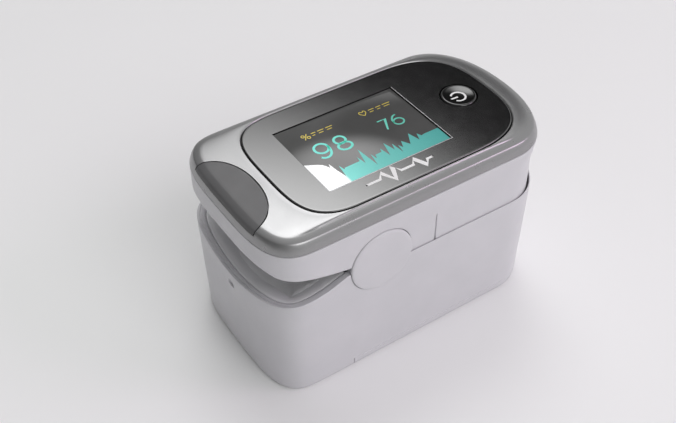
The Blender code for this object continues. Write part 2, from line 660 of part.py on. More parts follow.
# ---- cells and contacts
for i, s in ((1, -1), (2, 1)):
    flip = 1 if i == 1 else -1
    # the two cells lie head to tail: cell 1 has its nub at the rear, cell 2 at the mouth end
    mid = (CELL_X0 + CELL_X1) / 2
    half = (CELL_X1 - CELL_X0) / 2
    shift = 0.0 if i == 1 else 1.0
    turned(
        f"battery_cell_{i}",
        [(0.0, half + 1.0), (1.9, half + 1.0), (1.9, half), (4.6, half), (CELL_R, half - 0.6), (CELL_R, -half + 0.5),
         (4.7, -half), (0.0, -half)],
        (mid + shift, s * CELL_Y, CELL_Z), "X" if flip > 0 else "-X", parts, "cell", 28,
    )


def coil(x0, x1, y, z, r0, r1, turns, per_turn=12):
    pts = []
    count = int(turns * per_turn)
    for k in range(count + 1):
        t = k / count
        a = math.tau * turns * t
        r = r0 + (r1 - r0) * t
        pts.append((x0 + (x1 - x0) * t, y + r * math.cos(a), z + r * math.sin(a)))
    return pts


wire("contact_spring_1", coil(-24.1, -22.6, -CELL_Y + 0.5, CELL_Z, 2.6, 1.5, 2.0), 0.2, parts, "steel")
wire("contact_spring_2", coil(23.0, 22.42, CELL_Y - 0.9, CELL_Z, 1.8, 1.3, 1.0), 0.1, parts, "steel")
box("contact_plate_front", -24.8, -24.5, -7.2, 7.2, 3.4, 10.4, parts, "steel")
box("contact_plate_rear_1", 22.4, 22.7, -8.2, -3.2, 4.2, 9.8, parts, "steel")
box("contact_plate_rear_2", 23.35, 23.65, 2.6, 7.0, 4.2, 9.8, parts, "steel")

# ---- pivots and their springs
for side, s in (("left", 1), ("right", -1)):
    turned(
        f"pivot_pin_{side}",
        [(0.0, 15.55), (1.15, 15.55), (1.4, 15.3), (1.4, 10.3), (2.9, 10.3), (2.9, 9.85), (0.0, 9.85)],
        (PIVOT_X, 0, PIVOT_Z), "Y" if s > 0 else "-Y", parts, "steel", 16,
    )
    turned(
        f"pivot_cap_{side}",
        [(0.0, 16.6), (4.6, 16.58), (5.4, 16.5), (5.75, 16.36), (CAP_R, 16.15), (CAP_R, 15.9), (0.0, 15.9)],
        (PIVOT_X, 0, PIVOT_Z), "Y" if s > 0 else "-Y", parts, "white", 48,
    )
    # torsion spring: one leg bears on the base's floor side, the other on the upper half
    pts = []
    r = 2.05
    lead = [(PIVOT_X + 6.6, s * 10.75, PIVOT_Z - 5.0), (PIVOT_X + 4.4, s * 10.75, PIVOT_Z - 2.9)]
    turns, per = 3.0, 14
    start = math.radians(-12)
    for k in range(int(turns * per) + 1):
        a = start + math.tau * k / per
        pts.append((PIVOT_X + r * math.cos(a), s * (10.75 + 1.5 * k / (turns * per)), PIVOT_Z + r * math.sin(a)))
    tail = [(PIVOT_X + 3.6, s * 12.25, PIVOT_Z + 2.2), (PIVOT_X + 6.2, s * 12.25, PIVOT_Z + 4.0)]
    wire(f"torsion_spring_{side}", lead + pts + tail, 0.26, parts, "steel")


# ---- leads across the pivot line, behind the fingertip stop
def ribbon(name, path, width, thickness, y, mat):
    """A flat flex: a path in XZ given width along Y and thickness, both by Solidify on an open strip."""
    bm = bmesh.new()
    a = [bm.verts.new(Vector((x, y - width / 2, z)) * MM) for x, z in path]
    edges = [bm.edges.new((a[i], a[i + 1])) for i in range(len(a) - 1)]
    done = bmesh.ops.extrude_edge_only(bm, edges=edges)
    for g in done["geom"]:
        if isinstance(g, bmesh.types.BMVert):
            g.co.y += width * MM
    bmesh.ops.recalc_face_normals(bm, faces=bm.faces)
    mesh = bpy.data.meshes.new(name)
    bm.to_mesh(mesh)
    bm.free()
    o = add(name, mesh, parts, mat)
    s = o.modifiers.new("thickness", "SOLIDIFY")
    s.thickness = thickness * MM
    s.offset = 0.0
    return o


def smooth_path(points, per=6):
    """A Catmull-Rom curve through the points."""
    out = []
    pts = [points[0]] + list(points) + [points[-1]]
    for i in range(1, len(pts) - 2):
        p0, p1, p2, p3 = (Vector(p) for p in pts[i - 1 : i + 3])
        for k in range(per):
            t = k / per
            out.append(
                0.5 * ((2 * p1) + (p2 - p0) * t + (2 * p0 - 5 * p1 + 4 * p2 - p3) * t * t + (3 * p1 - p0 - 3 * p2 + p3) * t**3)
            )
    out.append(Vector(points[-1]))
    return [tuple(p) for p in out]


FLEX = smooth_path([(14.6, 0, 14.2), (15.6, 0, 16.0), (15.2, 0, 20.0), (13.4, 0, 25.0), (12.6, 0, 28.6), (12.6, 0, 31.6)], 4)
ribbon("sensor_flex", [(p[0], p[2]) for p in FLEX], 5.0, 0.25, 0.0, "flex")
for name, mat, y in (("battery_lead_positive", "red", 4.6), ("battery_lead_negative", "black", -4.6)):
    run = smooth_path([(17.5, y * 1.3, 14.3), (17.4, y * 1.25, 18.0), (14.6, y * 1.1, 24.0), (12.6, y, 28.4), (12.6, y, 31.5)], 5)
    wire(name, run, 0.45, parts, mat)
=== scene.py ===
import json
import math

import bmesh
import bpy
from mathutils import Matrix, Vector


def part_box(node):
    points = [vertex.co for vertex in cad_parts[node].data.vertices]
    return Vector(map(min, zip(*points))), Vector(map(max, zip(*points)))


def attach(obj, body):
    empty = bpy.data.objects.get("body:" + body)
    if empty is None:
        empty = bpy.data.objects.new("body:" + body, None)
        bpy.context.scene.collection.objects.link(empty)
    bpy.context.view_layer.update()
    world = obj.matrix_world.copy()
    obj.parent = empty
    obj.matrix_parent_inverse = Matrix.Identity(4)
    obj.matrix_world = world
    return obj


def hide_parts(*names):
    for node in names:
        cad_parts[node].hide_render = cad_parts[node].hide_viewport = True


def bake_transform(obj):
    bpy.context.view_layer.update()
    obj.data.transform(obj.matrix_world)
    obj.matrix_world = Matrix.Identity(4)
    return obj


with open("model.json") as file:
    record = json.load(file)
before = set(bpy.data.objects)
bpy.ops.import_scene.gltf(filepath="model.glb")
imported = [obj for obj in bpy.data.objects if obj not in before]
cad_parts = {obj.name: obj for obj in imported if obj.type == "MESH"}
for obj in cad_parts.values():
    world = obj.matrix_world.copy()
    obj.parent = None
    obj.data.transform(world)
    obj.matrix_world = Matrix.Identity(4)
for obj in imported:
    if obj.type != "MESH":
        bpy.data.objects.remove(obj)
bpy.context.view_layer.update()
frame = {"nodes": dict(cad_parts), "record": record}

MM = 0.001
NODES = frame["nodes"]

# ------------------------------------------------------------------ dimensions (mm, row frame)
LENGTH, WIDTH = 58.0, 32.5
BEZEL_BOTTOM, LENS_TOP = 32.33, 35.08
PARTING, DRAFT = 22.2, 0.57
PIVOT_X, PIVOT_Z, CAP_R = -9.17, 23.7, 5.9
MARK_X = 1.7
DOOR_X, DOOR_LIP = -14.2, 2.0
SKIRT_X = -3.35
SKIRT_INSET, REAR_RIM = 0.26, 0.17
BUTTON = (18.3, -0.05)
SCREEN = (-14.0, 9.85, 8.57)


def box_of(node):
    lo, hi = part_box(node)
    return [v / MM for v in lo], [v / MM for v in hi]


# ------------------------------------------------------------------ materials
def material(name):
    m = bpy.data.materials.new(name)
    m.use_nodes = True
    nt = m.node_tree
    b = nt.nodes["Principled BSDF"]
    return m, nt, b


def noise(nt, scale, detail=3.0, rough=0.55, coord="Object", vector=None):
    n = nt.nodes.new("ShaderNodeTexNoise")
    n.inputs["Scale"].default_value = scale
    n.inputs["Detail"].default_value = detail
    n.inputs["Roughness"].default_value = rough
    if vector is None:
        t = nt.nodes.new("ShaderNodeTexCoord")
        vector = t.outputs[coord]
    nt.links.new(vector, n.inputs["Vector"])
    return n


def ramp(nt, fac, stops, mode="LINEAR"):
    r = nt.nodes.new("ShaderNodeValToRGB")
    r.color_ramp.interpolation = mode
    e = r.color_ramp.elements
    while len(e) < len(stops):
        e.new(0.5)
    for el, (p, c) in zip(e, stops):
        el.position = p
        el.color = (*c, 1.0) if len(c) == 3 else c
    nt.links.new(fac, r.inputs["Fac"])
    return r


def grey(v):
    return (v, v, v)


def map_range(nt, value, a, b, c, d):
    m = nt.nodes.new("ShaderNodeMapRange")
    m.inputs["From Min"].default_value = a
    m.inputs["From Max"].default_value = b
    m.inputs["To Min"].default_value = c
    m.inputs["To Max"].default_value = d
    nt.links.new(value, m.inputs["Value"])
    return m


def bump(nt, height, strength, distance):
    n = nt.nodes.new("ShaderNodeBump")
    n.inputs["Strength"].default_value = strength
    n.inputs["Distance"].default_value = distance
    nt.links.new(height, n.inputs["Height"])
    return n


def plastic(name, base, var=0.03, rough=(0.34, 0.44), grain=5200.0, bump_s=0.18, spec=0.5, coat=0.0, tint=None):
    """Moulded plastic: a faint large-scale drift in colour, a fine spark-eroded grain in bump, and uneven gloss."""
    m, nt, b = material(name)
    big = noise(nt, 130.0, 3.0)
    fine = noise(nt, grain, 2.0, 0.5)
    hi = tuple(min(1.0, c * (1 + var)) for c in base)
    lo = tuple(c * (1 - var) for c in (tint or base))
    col = ramp(nt, big.outputs["Fac"], [(0.3, lo), (0.7, hi)])
    nt.links.new(col.outputs["Color"], b.inputs["Base Color"])
    smudge = noise(nt, 420.0, 5.0, 0.6)
    r = map_range(nt, smudge.outputs["Fac"], 0.3, 0.7, rough[0], rough[1])
    nt.links.new(r.outputs["Result"], b.inputs["Roughness"])
    bp = bump(nt, fine.outputs["Fac"], bump_s, 0.00002)
    nt.links.new(bp.outputs["Normal"], b.inputs["Normal"])
    b.inputs["Specular IOR Level"].default_value = spec
    b.inputs["Coat Weight"].default_value = coat
    b.inputs["Coat Roughness"].default_value = 0.12
    return m


def metallic(name, base, rough=(0.24, 0.34), metal=0.9, flake=0.06, brushed=False, scale=14000.0, bump_s=0.08):
    m, nt, b = material(name)
    if brushed:
        t = nt.nodes.new("ShaderNodeTexCoord")
        mp = nt.nodes.new("ShaderNodeMapping")
        mp.inputs["Scale"].default_value = (0.05, 1.0, 1.0)
        nt.links.new(t.outputs["Object"], mp.inputs["Vector"])
        f = noise(nt, scale * 0.4, 3.0, 0.6, vector=mp.outputs["Vector"])
    else:
        f = noise(nt, scale, 2.0, 0.6)
    hi = tuple(min(1.0, c * (1 + flake)) for c in base)
    lo = tuple(c * (1 - flake) for c in base)
    col = ramp(nt, f.outputs["Fac"], [(0.35, lo), (0.65, hi)])
    nt.links.new(col.outputs["Color"], b.inputs["Base Color"])
    s = noise(nt, 300.0, 4.0, 0.6)
    r = map_range(nt, s.outputs["Fac"], 0.3, 0.7, rough[0], rough[1])
    nt.links.new(r.outputs["Result"], b.inputs["Roughness"])
    b.inputs["Metallic"].default_value = metal
    bp = bump(nt, f.outputs["Fac"], bump_s, 0.00001)
    nt.links.new(bp.outputs["Normal"], b.inputs["Normal"])
    return m


def glossy(name, base, rough=(0.05, 0.1), ior=1.5, coat=1.0, var=0.08):
    m, nt, b = material(name)
    n = noise(nt, 160.0, 3.0)
    col = ramp(nt, n.outputs["Fac"], [(0.3, tuple(c * (1 - var) for c in base)), (0.7, tuple(c * (1 + var) for c in base))])
    nt.links.new(col.outputs["Color"], b.inputs["Base Color"])
    s = noise(nt, 700.0, 6.0, 0.65)
    r = map_range(nt, s.outputs["Fac"], 0.35, 0.7, rough[0], rough[1])
    nt.links.new(r.outputs["Result"], b.inputs["Roughness"])
    b.inputs["IOR"].default_value = ior
    b.inputs["Coat Weight"].default_value = coat
    b.inputs["Coat Roughness"].default_value = 0.05
    return m


def lit(name, stops, axis="X", lo=-14.0, hi=10.0, strength=0.6, rough=0.12):
    """Lit display ink: its colour runs along one axis of the display, with a faint pixel grid."""
    m, nt, b = material(name)
    t = nt.nodes.new("ShaderNodeTexCoord")
    s = nt.nodes.new("ShaderNodeSeparateXYZ")
    nt.links.new(t.outputs["Object"], s.inputs["Vector"])
    g = map_range(nt, s.outputs[axis], lo * MM, hi * MM, 0.0, 1.0)
    col = ramp(nt, g.outputs["Result"], stops)
    grid = nt.nodes.new("ShaderNodeTexBrick")
    grid.offset = 0.0
    grid.inputs["Scale"].default_value = 4200.0
    grid.inputs["Color1"].default_value = (1, 1, 1, 1)
    grid.inputs["Color2"].default_value = (0.97, 0.97, 0.97, 1)
    grid.inputs["Mortar"].default_value = (0.86, 0.86, 0.86, 1)
    grid.inputs["Mortar Size"].default_value = 0.06
    grid.inputs["Brick Width"].default_value = 1.0
    grid.inputs["Row Height"].default_value = 1.0
    nt.links.new(t.outputs["Object"], grid.inputs["Vector"])
    mix = nt.nodes.new("ShaderNodeMix")
    mix.data_type = "RGBA"
    mix.blend_type = "MULTIPLY"
    mix.inputs["Factor"].default_value = 1.0
    nt.links.new(col.outputs["Color"], mix.inputs[6])
    nt.links.new(grid.outputs["Color"], mix.inputs[7])
    nt.links.new(mix.outputs[2], b.inputs["Base Color"])
    nt.links.new(mix.outputs[2], b.inputs["Emission Color"])
    b.inputs["Emission Strength"].default_value = strength
    b.inputs["Roughness"].default_value = rough
    return m


WHITE = plastic("white_abs_shell", (0.595, 0.587, 0.613), var=0.012, rough=(0.33, 0.42), tint=(0.58, 0.575, 0.60))
WHITE_IN = plastic("white_abs_inner", (0.50, 0.50, 0.52), var=0.02, rough=(0.42, 0.52))
SILVER = metallic("silver_metallic_paint", (0.33, 0.33, 0.333), rough=(0.27, 0.31), metal=0.85, flake=0.03, scale=9000.0, bump_s=0.02)
GRIP = plastic("grip_satin_grey", (0.105, 0.105, 0.107), var=0.05, rough=(0.36, 0.46), grain=7000.0, bump_s=0.25)
LENS = glossy("tinted_panel", (0.006, 0.006, 0.0062), rough=(0.10, 0.13), ior=2.15, coat=0.9)
GLASS = glossy("display_face", (0.082, 0.083, 0.081), rough=(0.08, 0.12), ior=1.45, coat=0.2)
BLACK = glossy("gloss_black_button", (0.006, 0.006, 0.006), rough=(0.10, 0.15), ior=1.5, coat=0.5)
# near-black: on the cutters, and on the floor under the panel's gap, where it is painted shade
GAP = plastic("gap_black_painted_shade", (0.006, 0.006, 0.006), var=0.1, rough=(0.6, 0.8))
SILICONE = plastic("silicone_pad", (0.70, 0.70, 0.71), var=0.04, rough=(0.5, 0.62), grain=3000.0, bump_s=0.3)
# the liner's silicone is a lighter copy of the pad's: partly its own pale tone, partly painted light on the part
# nearest the mouth's opening
SILICONE_LIGHTER_LIP = plastic("silicone_lip_partly_painted_light", (0.76, 0.76, 0.775), var=0.03, rough=(0.45, 0.55), grain=3000.0, bump_s=0.25)
FRAME = plastic("frame_grey_moulded", (0.16, 0.165, 0.175), var=0.04, rough=(0.45, 0.55))
STEEL = metallic("bright_steel", (0.6, 0.6, 0.62), rough=(0.18, 0.3), metal=1.0)
GOLD = metallic("contact_metal", (0.62, 0.56, 0.42), rough=(0.22, 0.32), metal=1.0)
BOARD = plastic("solder_mask_green", (0.02, 0.13, 0.055), var=0.12, rough=(0.3, 0.45), grain=2600.0)
CHIP = plastic("moulded_epoxy", (0.02, 0.02, 0.022), var=0.1, rough=(0.5, 0.65), grain=6000.0)
CELL = metallic("cell_foil_jacket", (0.06, 0.16, 0.36), rough=(0.25, 0.35), metal=0.55, brushed=True)
FLEX = plastic("polyimide_flex", (0.36, 0.16, 0.03), var=0.08, rough=(0.28, 0.38))
RED = plastic("lead_insulation_red", (0.45, 0.02, 0.02), var=0.06, rough=(0.4, 0.5))
DARK = plastic("lead_insulation_black", (0.02, 0.02, 0.02), var=0.06, rough=(0.4, 0.5))
# light grey, partly metallic strip for the display window's right and near edges: a painted highlight where the bevel
# catches light
WINDOW_EDGE_HIGHLIGHT = metallic("window_edge_painted_highlight", (0.62, 0.63, 0.64), rough=(0.2, 0.3), metal=0.4, flake=0.03)
PRINT = plastic("white_print", (0.85, 0.85, 0.85), var=0.01, rough=(0.4, 0.5))
CLEAR, _nt, _b = material("clear_window")
_n = noise(_nt, 400.0, 3.0)
_r = ramp(_nt, _n.outputs["Fac"], [(0.3, (0.72, 0.75, 0.78)), (0.7, (0.8, 0.82, 0.85))])
_nt.links.new(_r.outputs["Color"], _b.inputs["Base Color"])
_b.inputs["Roughness"].default_value = 0.08
_b.inputs["Transmission Weight"].default_value = 0.7
TEAL = lit("display_teal", [(0.0, (0.16, 0.70, 0.62)), (0.55, (0.13, 0.58, 0.47)), (1.0, (0.10, 0.42, 0.33))], lo=-11.0, hi=7.0, strength=0.30)
WAVE = lit(
    "display_wave",
    [(0.0, (0.95, 0.97, 0.97)), (0.165, (0.95, 0.97, 0.97)), (0.185, (0.16, 0.62, 0.56)), (0.45, (0.10, 0.44, 0.40)), (1.0, (0.06, 0.30, 0.28))],
    strength=0.32,
)
YELLOW = lit("display_yellow", [(0.0, (0.62, 0.50, 0.08)), (1.0, (0.42, 0.34, 0.06))], strength=0.3)


# ------------------------------------------------------------------ mesh helpers
def finish_mesh(name, verts, faces, mat, angle=32.0, merge=True):
    mesh = bpy.data.meshes.new(name)
    mesh.from_pydata([(x * MM, y * MM, z * MM) for x, y, z in verts], [], faces)
    bm = bmesh.new()
    bm.from_mesh(mesh)
    if merge:
        bmesh.ops.remove_doubles(bm, verts=bm.verts, dist=2e-7)
    bmesh.ops.recalc_face_normals(bm, faces=bm.faces)
    bm.to_mesh(mesh)
    bm.free()
    mesh.materials.append(mat)
    mesh.shade_smooth()
    if angle is not None:
        mesh.set_sharp_from_angle(angle=math.radians(angle))
    o = bpy.data.objects.new(name, mesh)
    bpy.context.scene.collection.objects.link(o)
    return o


def rings_object(name, rings, mat, cap_first=True, cap_last=True, closed=False, angle=32.0):
    n = len(rings[0])
    verts = [p for r in rings for p in r]
    faces = []
    count = len(rings)
    for k in range(count if closed else count - 1):
        a, b = k * n, ((k + 1) % count) * n
        for i in range(n):
            j = (i + 1) % n
            faces.append((a + i, a + j, b + j, b + i))
    if not closed:
        if cap_first:
            faces.append(tuple(range(n)))
        if cap_last:
            faces.append(tuple(range((count - 1) * n, count * n)))
    return finish_mesh(name, verts, faces, mat, angle)


def apply_all(o):
    bpy.context.view_layer.update()
    dg = bpy.context.evaluated_depsgraph_get()
    mesh = bpy.data.meshes.new_from_object(o.evaluated_get(dg), depsgraph=dg)
    o.modifiers.clear()
    old = o.data
    o.data = mesh
    bpy.data.meshes.remove(old)
    return o


def boolean(o, cutter, operation="DIFFERENCE", angle=32.0, keep=False):
    m = o.modifiers.new("b", "BOOLEAN")
    m.operation = operation
    m.solver = "EXACT"
    m.object = cutter
    apply_all(o)
    if not keep:
        mesh = cutter.data
        bpy.data.objects.remove(cutter)
        bpy.data.meshes.remove(mesh)
    if angle is not None:
        o.data.shade_smooth()
        o.data.set_sharp_from_angle(angle=math.radians(angle))
    return o


def cut_box(x0, x1, y0, y1, z0, z1):
    v = [(x, y, z) for x in (x0, x1) for y in (y0, y1) for z in (z0, z1)]
    f = [(0, 1, 3, 2), (4, 6, 7, 5), (0, 4, 5, 1), (2, 3, 7, 6), (0, 2, 6, 4), (1, 5, 7, 3)]
    return finish_mesh("cut", v, f, GAP, None)


def turned(name, profile, centre, axis, mat, n=96, angle=32.0, squash=(1.0, 1.0)):
    """Turn (radius, height) points about an axis through centre."""
    rings = []
    for r, h in profile:
        ring = []
        for k in range(n):
            a = math.tau * k / n
            u, v = max(r, 1e-4) * math.cos(a), max(r, 1e-4) * math.sin(a)
            if axis == "Z":
                p = (centre[0] + u, centre[1] + v, h)
            elif axis == "Y":
                p = (centre[0] + u, h, centre[1] + v)
            else:
                p = (h, centre[0] + u, centre[1] + v)
            ring.append(p)
        rings.append(ring)
    return rings_object(name, rings, mat, angle=angle)


def smoothstep(a, b, x):
    t = min(1.0, max(0.0, (x - a) / (b - a)))
    return t * t * (3 - 2 * t)


def curve_through(points):
    """A smooth, non-overshooting curve through (x, y) points."""
    xs = [p[0] for p in points]
    ys = [p[1] for p in points]
    n = len(xs)
    d = [(ys[i + 1] - ys[i]) / (xs[i + 1] - xs[i]) for i in range(n - 1)]
    m = [d[0]] + [0.0 if d[i - 1] * d[i] <= 0 else 2 * d[i - 1] * d[i] / (d[i - 1] + d[i]) for i in range(1, n - 1)] + [d[-1]]

    def f(x):
        if x <= xs[0]:
            return ys[0]
        if x >= xs[-1]:
            return ys[-1]
        i = max(k for k in range(n - 1) if xs[k] <= x)
        h = xs[i + 1] - xs[i]
        t = (x - xs[i]) / h
        return (
            ys[i] * (1 + 2 * t) * (1 - t) ** 2
            + ys[i + 1] * t * t * (3 - 2 * t)
            + h * (m[i] * t * (1 - t) ** 2 + m[i + 1] * t * t * (t - 1))
        )

    return f


# ------------------------------------------------------------------ plan outlines
def outline(x_front, x_rear, width, a_front, n_front, a_rear, n_rear, half, extra=()):
    """Stations round a plan, rear to front on +Y then back on -Y: (x, y, nx, ny, s), s = length along it from the front tip."""
    dense = []
    m = 4000
    for k in range(m + 1):
        t = math.pi / 2 * k / m
        c, s = math.cos(t), math.sin(t)
        dense.append((x_rear - a_rear + a_rear * c ** (2 / n_rear), width / 2 * s ** (2 / n_rear)))
    x0, x1 = x_rear - a_rear, x_front + a_front
    for k in range(1, 200):
        dense.append((x0 + (x1 - x0) * k / 200, width / 2))
    for k in range(m + 1):
        t = math.pi / 2 * (1 - k / m)
        c, s = math.cos(t), math.sin(t)
        dense.append((x_front + a_front - a_front * c ** (2 / n_front), width / 2 * s ** (2 / n_front)))
    path = [dense[0]]
    for p in dense[1:]:
        if math.hypot(p[0] - path[-1][0], p[1] - path[-1][1]) > 1e-5:
            path.append(p)
    lengths, turns, angle = [0.0], [0.0], None
    for i in range(1, len(path)):
        dx, dy = path[i][0] - path[i - 1][0], path[i][1] - path[i - 1][1]
        now = math.atan2(dy, dx)
        turns.append(turns[-1] + (0.0 if angle is None else abs(now - angle)))
        angle = now
        lengths.append(lengths[-1] + math.hypot(dx, dy))
    measure = [t + 0.055 * l for t, l in zip(turns, lengths)]
    picks, j = [], 1
    for k in range(half):
        goal = measure[-1] * (k + 0.5) / half
        while measure[j] < goal and j < len(path) - 1:
            j += 1
        f = (goal - measure[j - 1]) / max(1e-12, measure[j] - measure[j - 1])
        x = path[j - 1][0] + f * (path[j][0] - path[j - 1][0])
        y = path[j - 1][1] + f * (path[j][1] - path[j - 1][1])
        a, b = max(0, j - 2), min(len(path) - 1, j + 1)
        dx, dy = path[b][0] - path[a][0], path[b][1] - path[a][1]
        d = math.hypot(dx, dy)
        s = lengths[-1] - (lengths[j - 1] + f * (lengths[j] - lengths[j - 1]))
        picks.append((x, y, dy / d, -dx / d, s))
    on_side = {}
    for x in extra:
        i = min(range(len(path)), key=lambda q: abs(path[q][0] - x) + (0 if path[q][1] > 1 else 50))
        on_side[x] = (x, width / 2, 0.0, 1.0, lengths[-1] - lengths[i] + (path[i][0] - x) * 0)
    picks = [p for p in picks if not any(abs(p[0] - x) < 0.12 and p[1] > width / 2 - 0.1 for x in extra)]
    picks += list(on_side.values())
    picks.sort(key=lambda p: -p[0])
    return picks + [(x, -y, nx, -ny, s) for x, y, nx, ny, s in reversed(picks)]


HALF = 92
EXTRA = (-16.0, -5.6, -4.6, -4.05, SKIRT_X - 0.03, SKIRT_X + 0.03, 0.0, 2.4, 6.0, 10.0)
BODY = outline(-LENGTH / 2, LENGTH / 2, WIDTH, 9.8, 3.6, 10.95, 2.235, HALF, EXTRA)
PLAIN = outline(-LENGTH / 2, LENGTH / 2, WIDTH, 9.8, 3.6, 10.95, 2.235, 120)
PANEL = outline(-20.3, 24.0, 27.35, 12.0, 3.63, 14.45, 2.95, 120)


def ring(o, inset, z):
    out = []
    for p in o:
        x, y, nx, ny, s = p
        i = inset(p) if callable(inset) else inset
        h = z(p) if callable(z) else z
        out.append((x - nx * i, y - ny * i, h))
    return out


# ------------------------------------------------------------------ base half
S_SIDE = next(p[4] for p in BODY if abs(p[0] + 16.0) < 1e-6)     # length along the outline at x = -16


def at(x):
    """Length along the outline of a point on the straight side at x."""
    return S_SIDE + (x + 16.0)


RIM = curve_through(
    [(-1, 18.95), (0.0, 18.95), (3.0, 19.15), (7.0, 19.95), (10.5, 20.6), (14.0, 21.0), (at(-23.3), 21.5), (at(-19.2), 22.2), (at(-16.5), 23.15),
     (at(-15.2), 23.5), (at(-11.0), 23.4), (at(-6.0), 22.4), (at(-3.9), PARTING), (at(0.0), PARTING), (at(40.0), PARTING)]
)


def rim(p):
    return RIM(p[4])


def thick(p):
    """Rim thickness: a full wall in the mouth, a thin one where the skirt slides inside it."""
    x = p[0]
    return 1.55 if x < -4.4 else REAR_RIM


def base_inset(z):
    return DRAFT * max(0.0, 1 - z / PARTING) ** 1.3


levels = [0.9, 1.4, 1.9, 3.0, 5.0, 7.5, 10.0, 12.5, 15.0, 17.0]
rings = [
    ring(BODY, DRAFT + 4.0, 0.0),
    ring(BODY, DRAFT + 1.0, 0.0),
    ring(BODY, DRAFT + 0.72, 0.03),
    ring(BODY, DRAFT + 0.42, 0.14),
    ring(BODY, DRAFT + 0.18, 0.34),
    ring(BODY, DRAFT + 0.04, 0.6),
]
rings += [ring(BODY, base_inset(z), z) for z in levels]


def across(p, u, dz):
    """A point across the rim: u from 0 at the outer edge to 1 at the inner one. In the mouth the land falls inwards and
    carries a fine line near its outer edge; at the rear it is a narrow flat."""
    if p[0] < -4.4:
        return 0.02 + u * 1.53, dz
    return 0.01 + u * (REAR_RIM - 0.01), max(dz, -0.03)


def front_line(p):
    """How deep the fine line is: full across the front, gone past the corners."""
    return 0.16 * smoothstep(-0.25, -0.8, p[2])


# the rim's own shape: a tight outer edge, a land that falls inwards and an inner edge, following its height
for di, dz in ((0.0, -1.4), (0.0, -0.7), (0.0, -0.24), (0.012, -0.13)):
    rings.append(ring(BODY, lambda p, di=di: base_inset(rim(p)) + di, lambda p, dz=dz: rim(p) + dz))
for u, dz, line in ((0.035, -0.045, 0), (0.08, 0.0, 0), (0.16, -0.02, 0), (0.30, -0.06, 0), (0.33, -0.07, 0), (0.345, -0.07, 1), (0.39, -0.08, 1), (0.41, -0.09, 0),
                    (0.45, -0.09, 0), (0.6, -0.13, 0), (0.78, -0.22, 0), (0.9, -0.32, 0), (0.97, -0.42, 0), (1.0, -0.52, 0)):
    rings.append(ring(BODY, lambda p, u=u, dz=dz: across(p, u, dz)[0],
                      lambda p, u=u, dz=dz, line=line: rim(p) + across(p, u, dz)[1] - line * front_line(p)))
rings.append(ring(BODY, lambda p: thick(p) + 0.01, lambda p: rim(p) - 1.4))
rings.append(ring(BODY, lambda p: thick(p) + 0.1, 13.4))
rings.append(ring(BODY, 1.9, 13.0))
rings.append(ring(BODY, 2.1, 1.6))
base = rings_object("shell_lower", rings, WHITE)
boolean(base, cut_box(DOOR_X, 40, -30, 30, -2, DOOR_LIP))
boolean(base, cut_box(DOOR_X + 0.8, 23.6, -12.2, 12.2, -2, 2.2))
for s in (1, -1):
    boolean(base, turned("cut", [(CAP_R + 0.1, s * 15.8), (CAP_R + 0.1, s * 19.0)], (PIVOT_X, PIVOT_Z), "Y", GAP))
# the small dimple under the rim, in the middle of the front face
dim = turned("cut", [(0.0, -1.9), (0.5, -1.85), (0.72, -1.5), (0.72, -0.5), (0.5, -0.15), (0.0, -0.1)], (-29.05, 16.6), "Y", GAP, n=32)
boolean(base, dim)
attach(base, "base")
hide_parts("lower_housing")

# battery door
door = rings_object(
    "door_shell",
    [
        ring(BODY, DRAFT + 4.0, 0.0),
        ring(BODY, DRAFT + 1.0, 0.0),
        ring(BODY, DRAFT + 0.72, 0.03),
        ring(BODY, DRAFT + 0.42, 0.14),
        ring(BODY, DRAFT + 0.18, 0.34),
        ring(BODY, DRAFT + 0.04, 0.6),
        ring(BODY, base_inset(1.2), 1.2),
        ring(BODY, base_inset(1.8) + 0.01, DOOR_LIP - 0.17),
        ring(BODY, base_inset(1.8) + 0.09, DOOR_LIP - 0.11),
        ring(BODY, base_inset(1.8) + 1.2, DOOR_LIP - 0.11),
        ring(BODY, DRAFT + 1.5, 1.2),
    ],
    WHITE,
)
boolean(door, cut_box(-40, DOOR_X + 0.12, -30, 30, -2, 6))
for k in range(5):
    boolean(door, cut_box(17.0 + 1.3 * k, 17.55 + 1.3 * k, -5.5 + 0.35 * k, 5.5 - 0.35 * k, -1.0, 0.32))
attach(door, "door")
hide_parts("battery_door")

# ------------------------------------------------------------------ upper half
LIP = curve_through(
    [(-1, 28.0), (0.0, 28.0), (8.0, 28.0), (11.5, 27.85), (14.0, 27.35), (16.5, 27.0), (at(-23.0), 26.6), (at(-21.4), 26.2), (at(-19.2), 25.65),
     (at(-15.6), 24.9), (at(-12.0), 24.5), (at(SKIRT_X), 24.2), (at(60.0), 24.2)]
)


def lip(p):
    return LIP(p[4]) if p[0] < SKIRT_X else 20.8


def recess_top(x):
    """Height up to which the wall goes inside the rear rim when the clip is squeezed open."""
    return 24.1 + 0.176 * x


def upper_inset(p, z):
    x, nx = p[0], p[2]
    down = smoothstep(TOP - 0.1, recess_top(x), z) * smoothstep(-10.5, -4.6, x)
    return (SKIRT_INSET + 0.5 * max(0.0, nx) ** 1.15) * down


TOP = BEZEL_BOTTOM - 0.12
count = 30
rings = [ring(BODY, 2.2, TOP), ring(BODY, 0.16, TOP), ring(BODY, 0.05, TOP - 0.04), ring(BODY, 0.0, TOP - 0.15)]
for k in range(1, count + 1):
    f = k / count

    def z_of(p, f=f):
        return TOP - 0.15 + (lip(p) + 0.5 - TOP + 0.15) * f

    rings.append(ring(BODY, lambda p, f=f: upper_inset(p, z_of(p, f)), z_of))
for di, dz in ((0.015, 0.3), (0.07, 0.15), (0.17, 0.05), (0.32, 0.0)):
    rings.append(ring(BODY, lambda p, di=di: upper_inset(p, lip(p)) + di, lambda p, dz=dz: lip(p) + dz))


def inner(p):
    return 2.35 if p[0] < SKIRT_X else 2.2


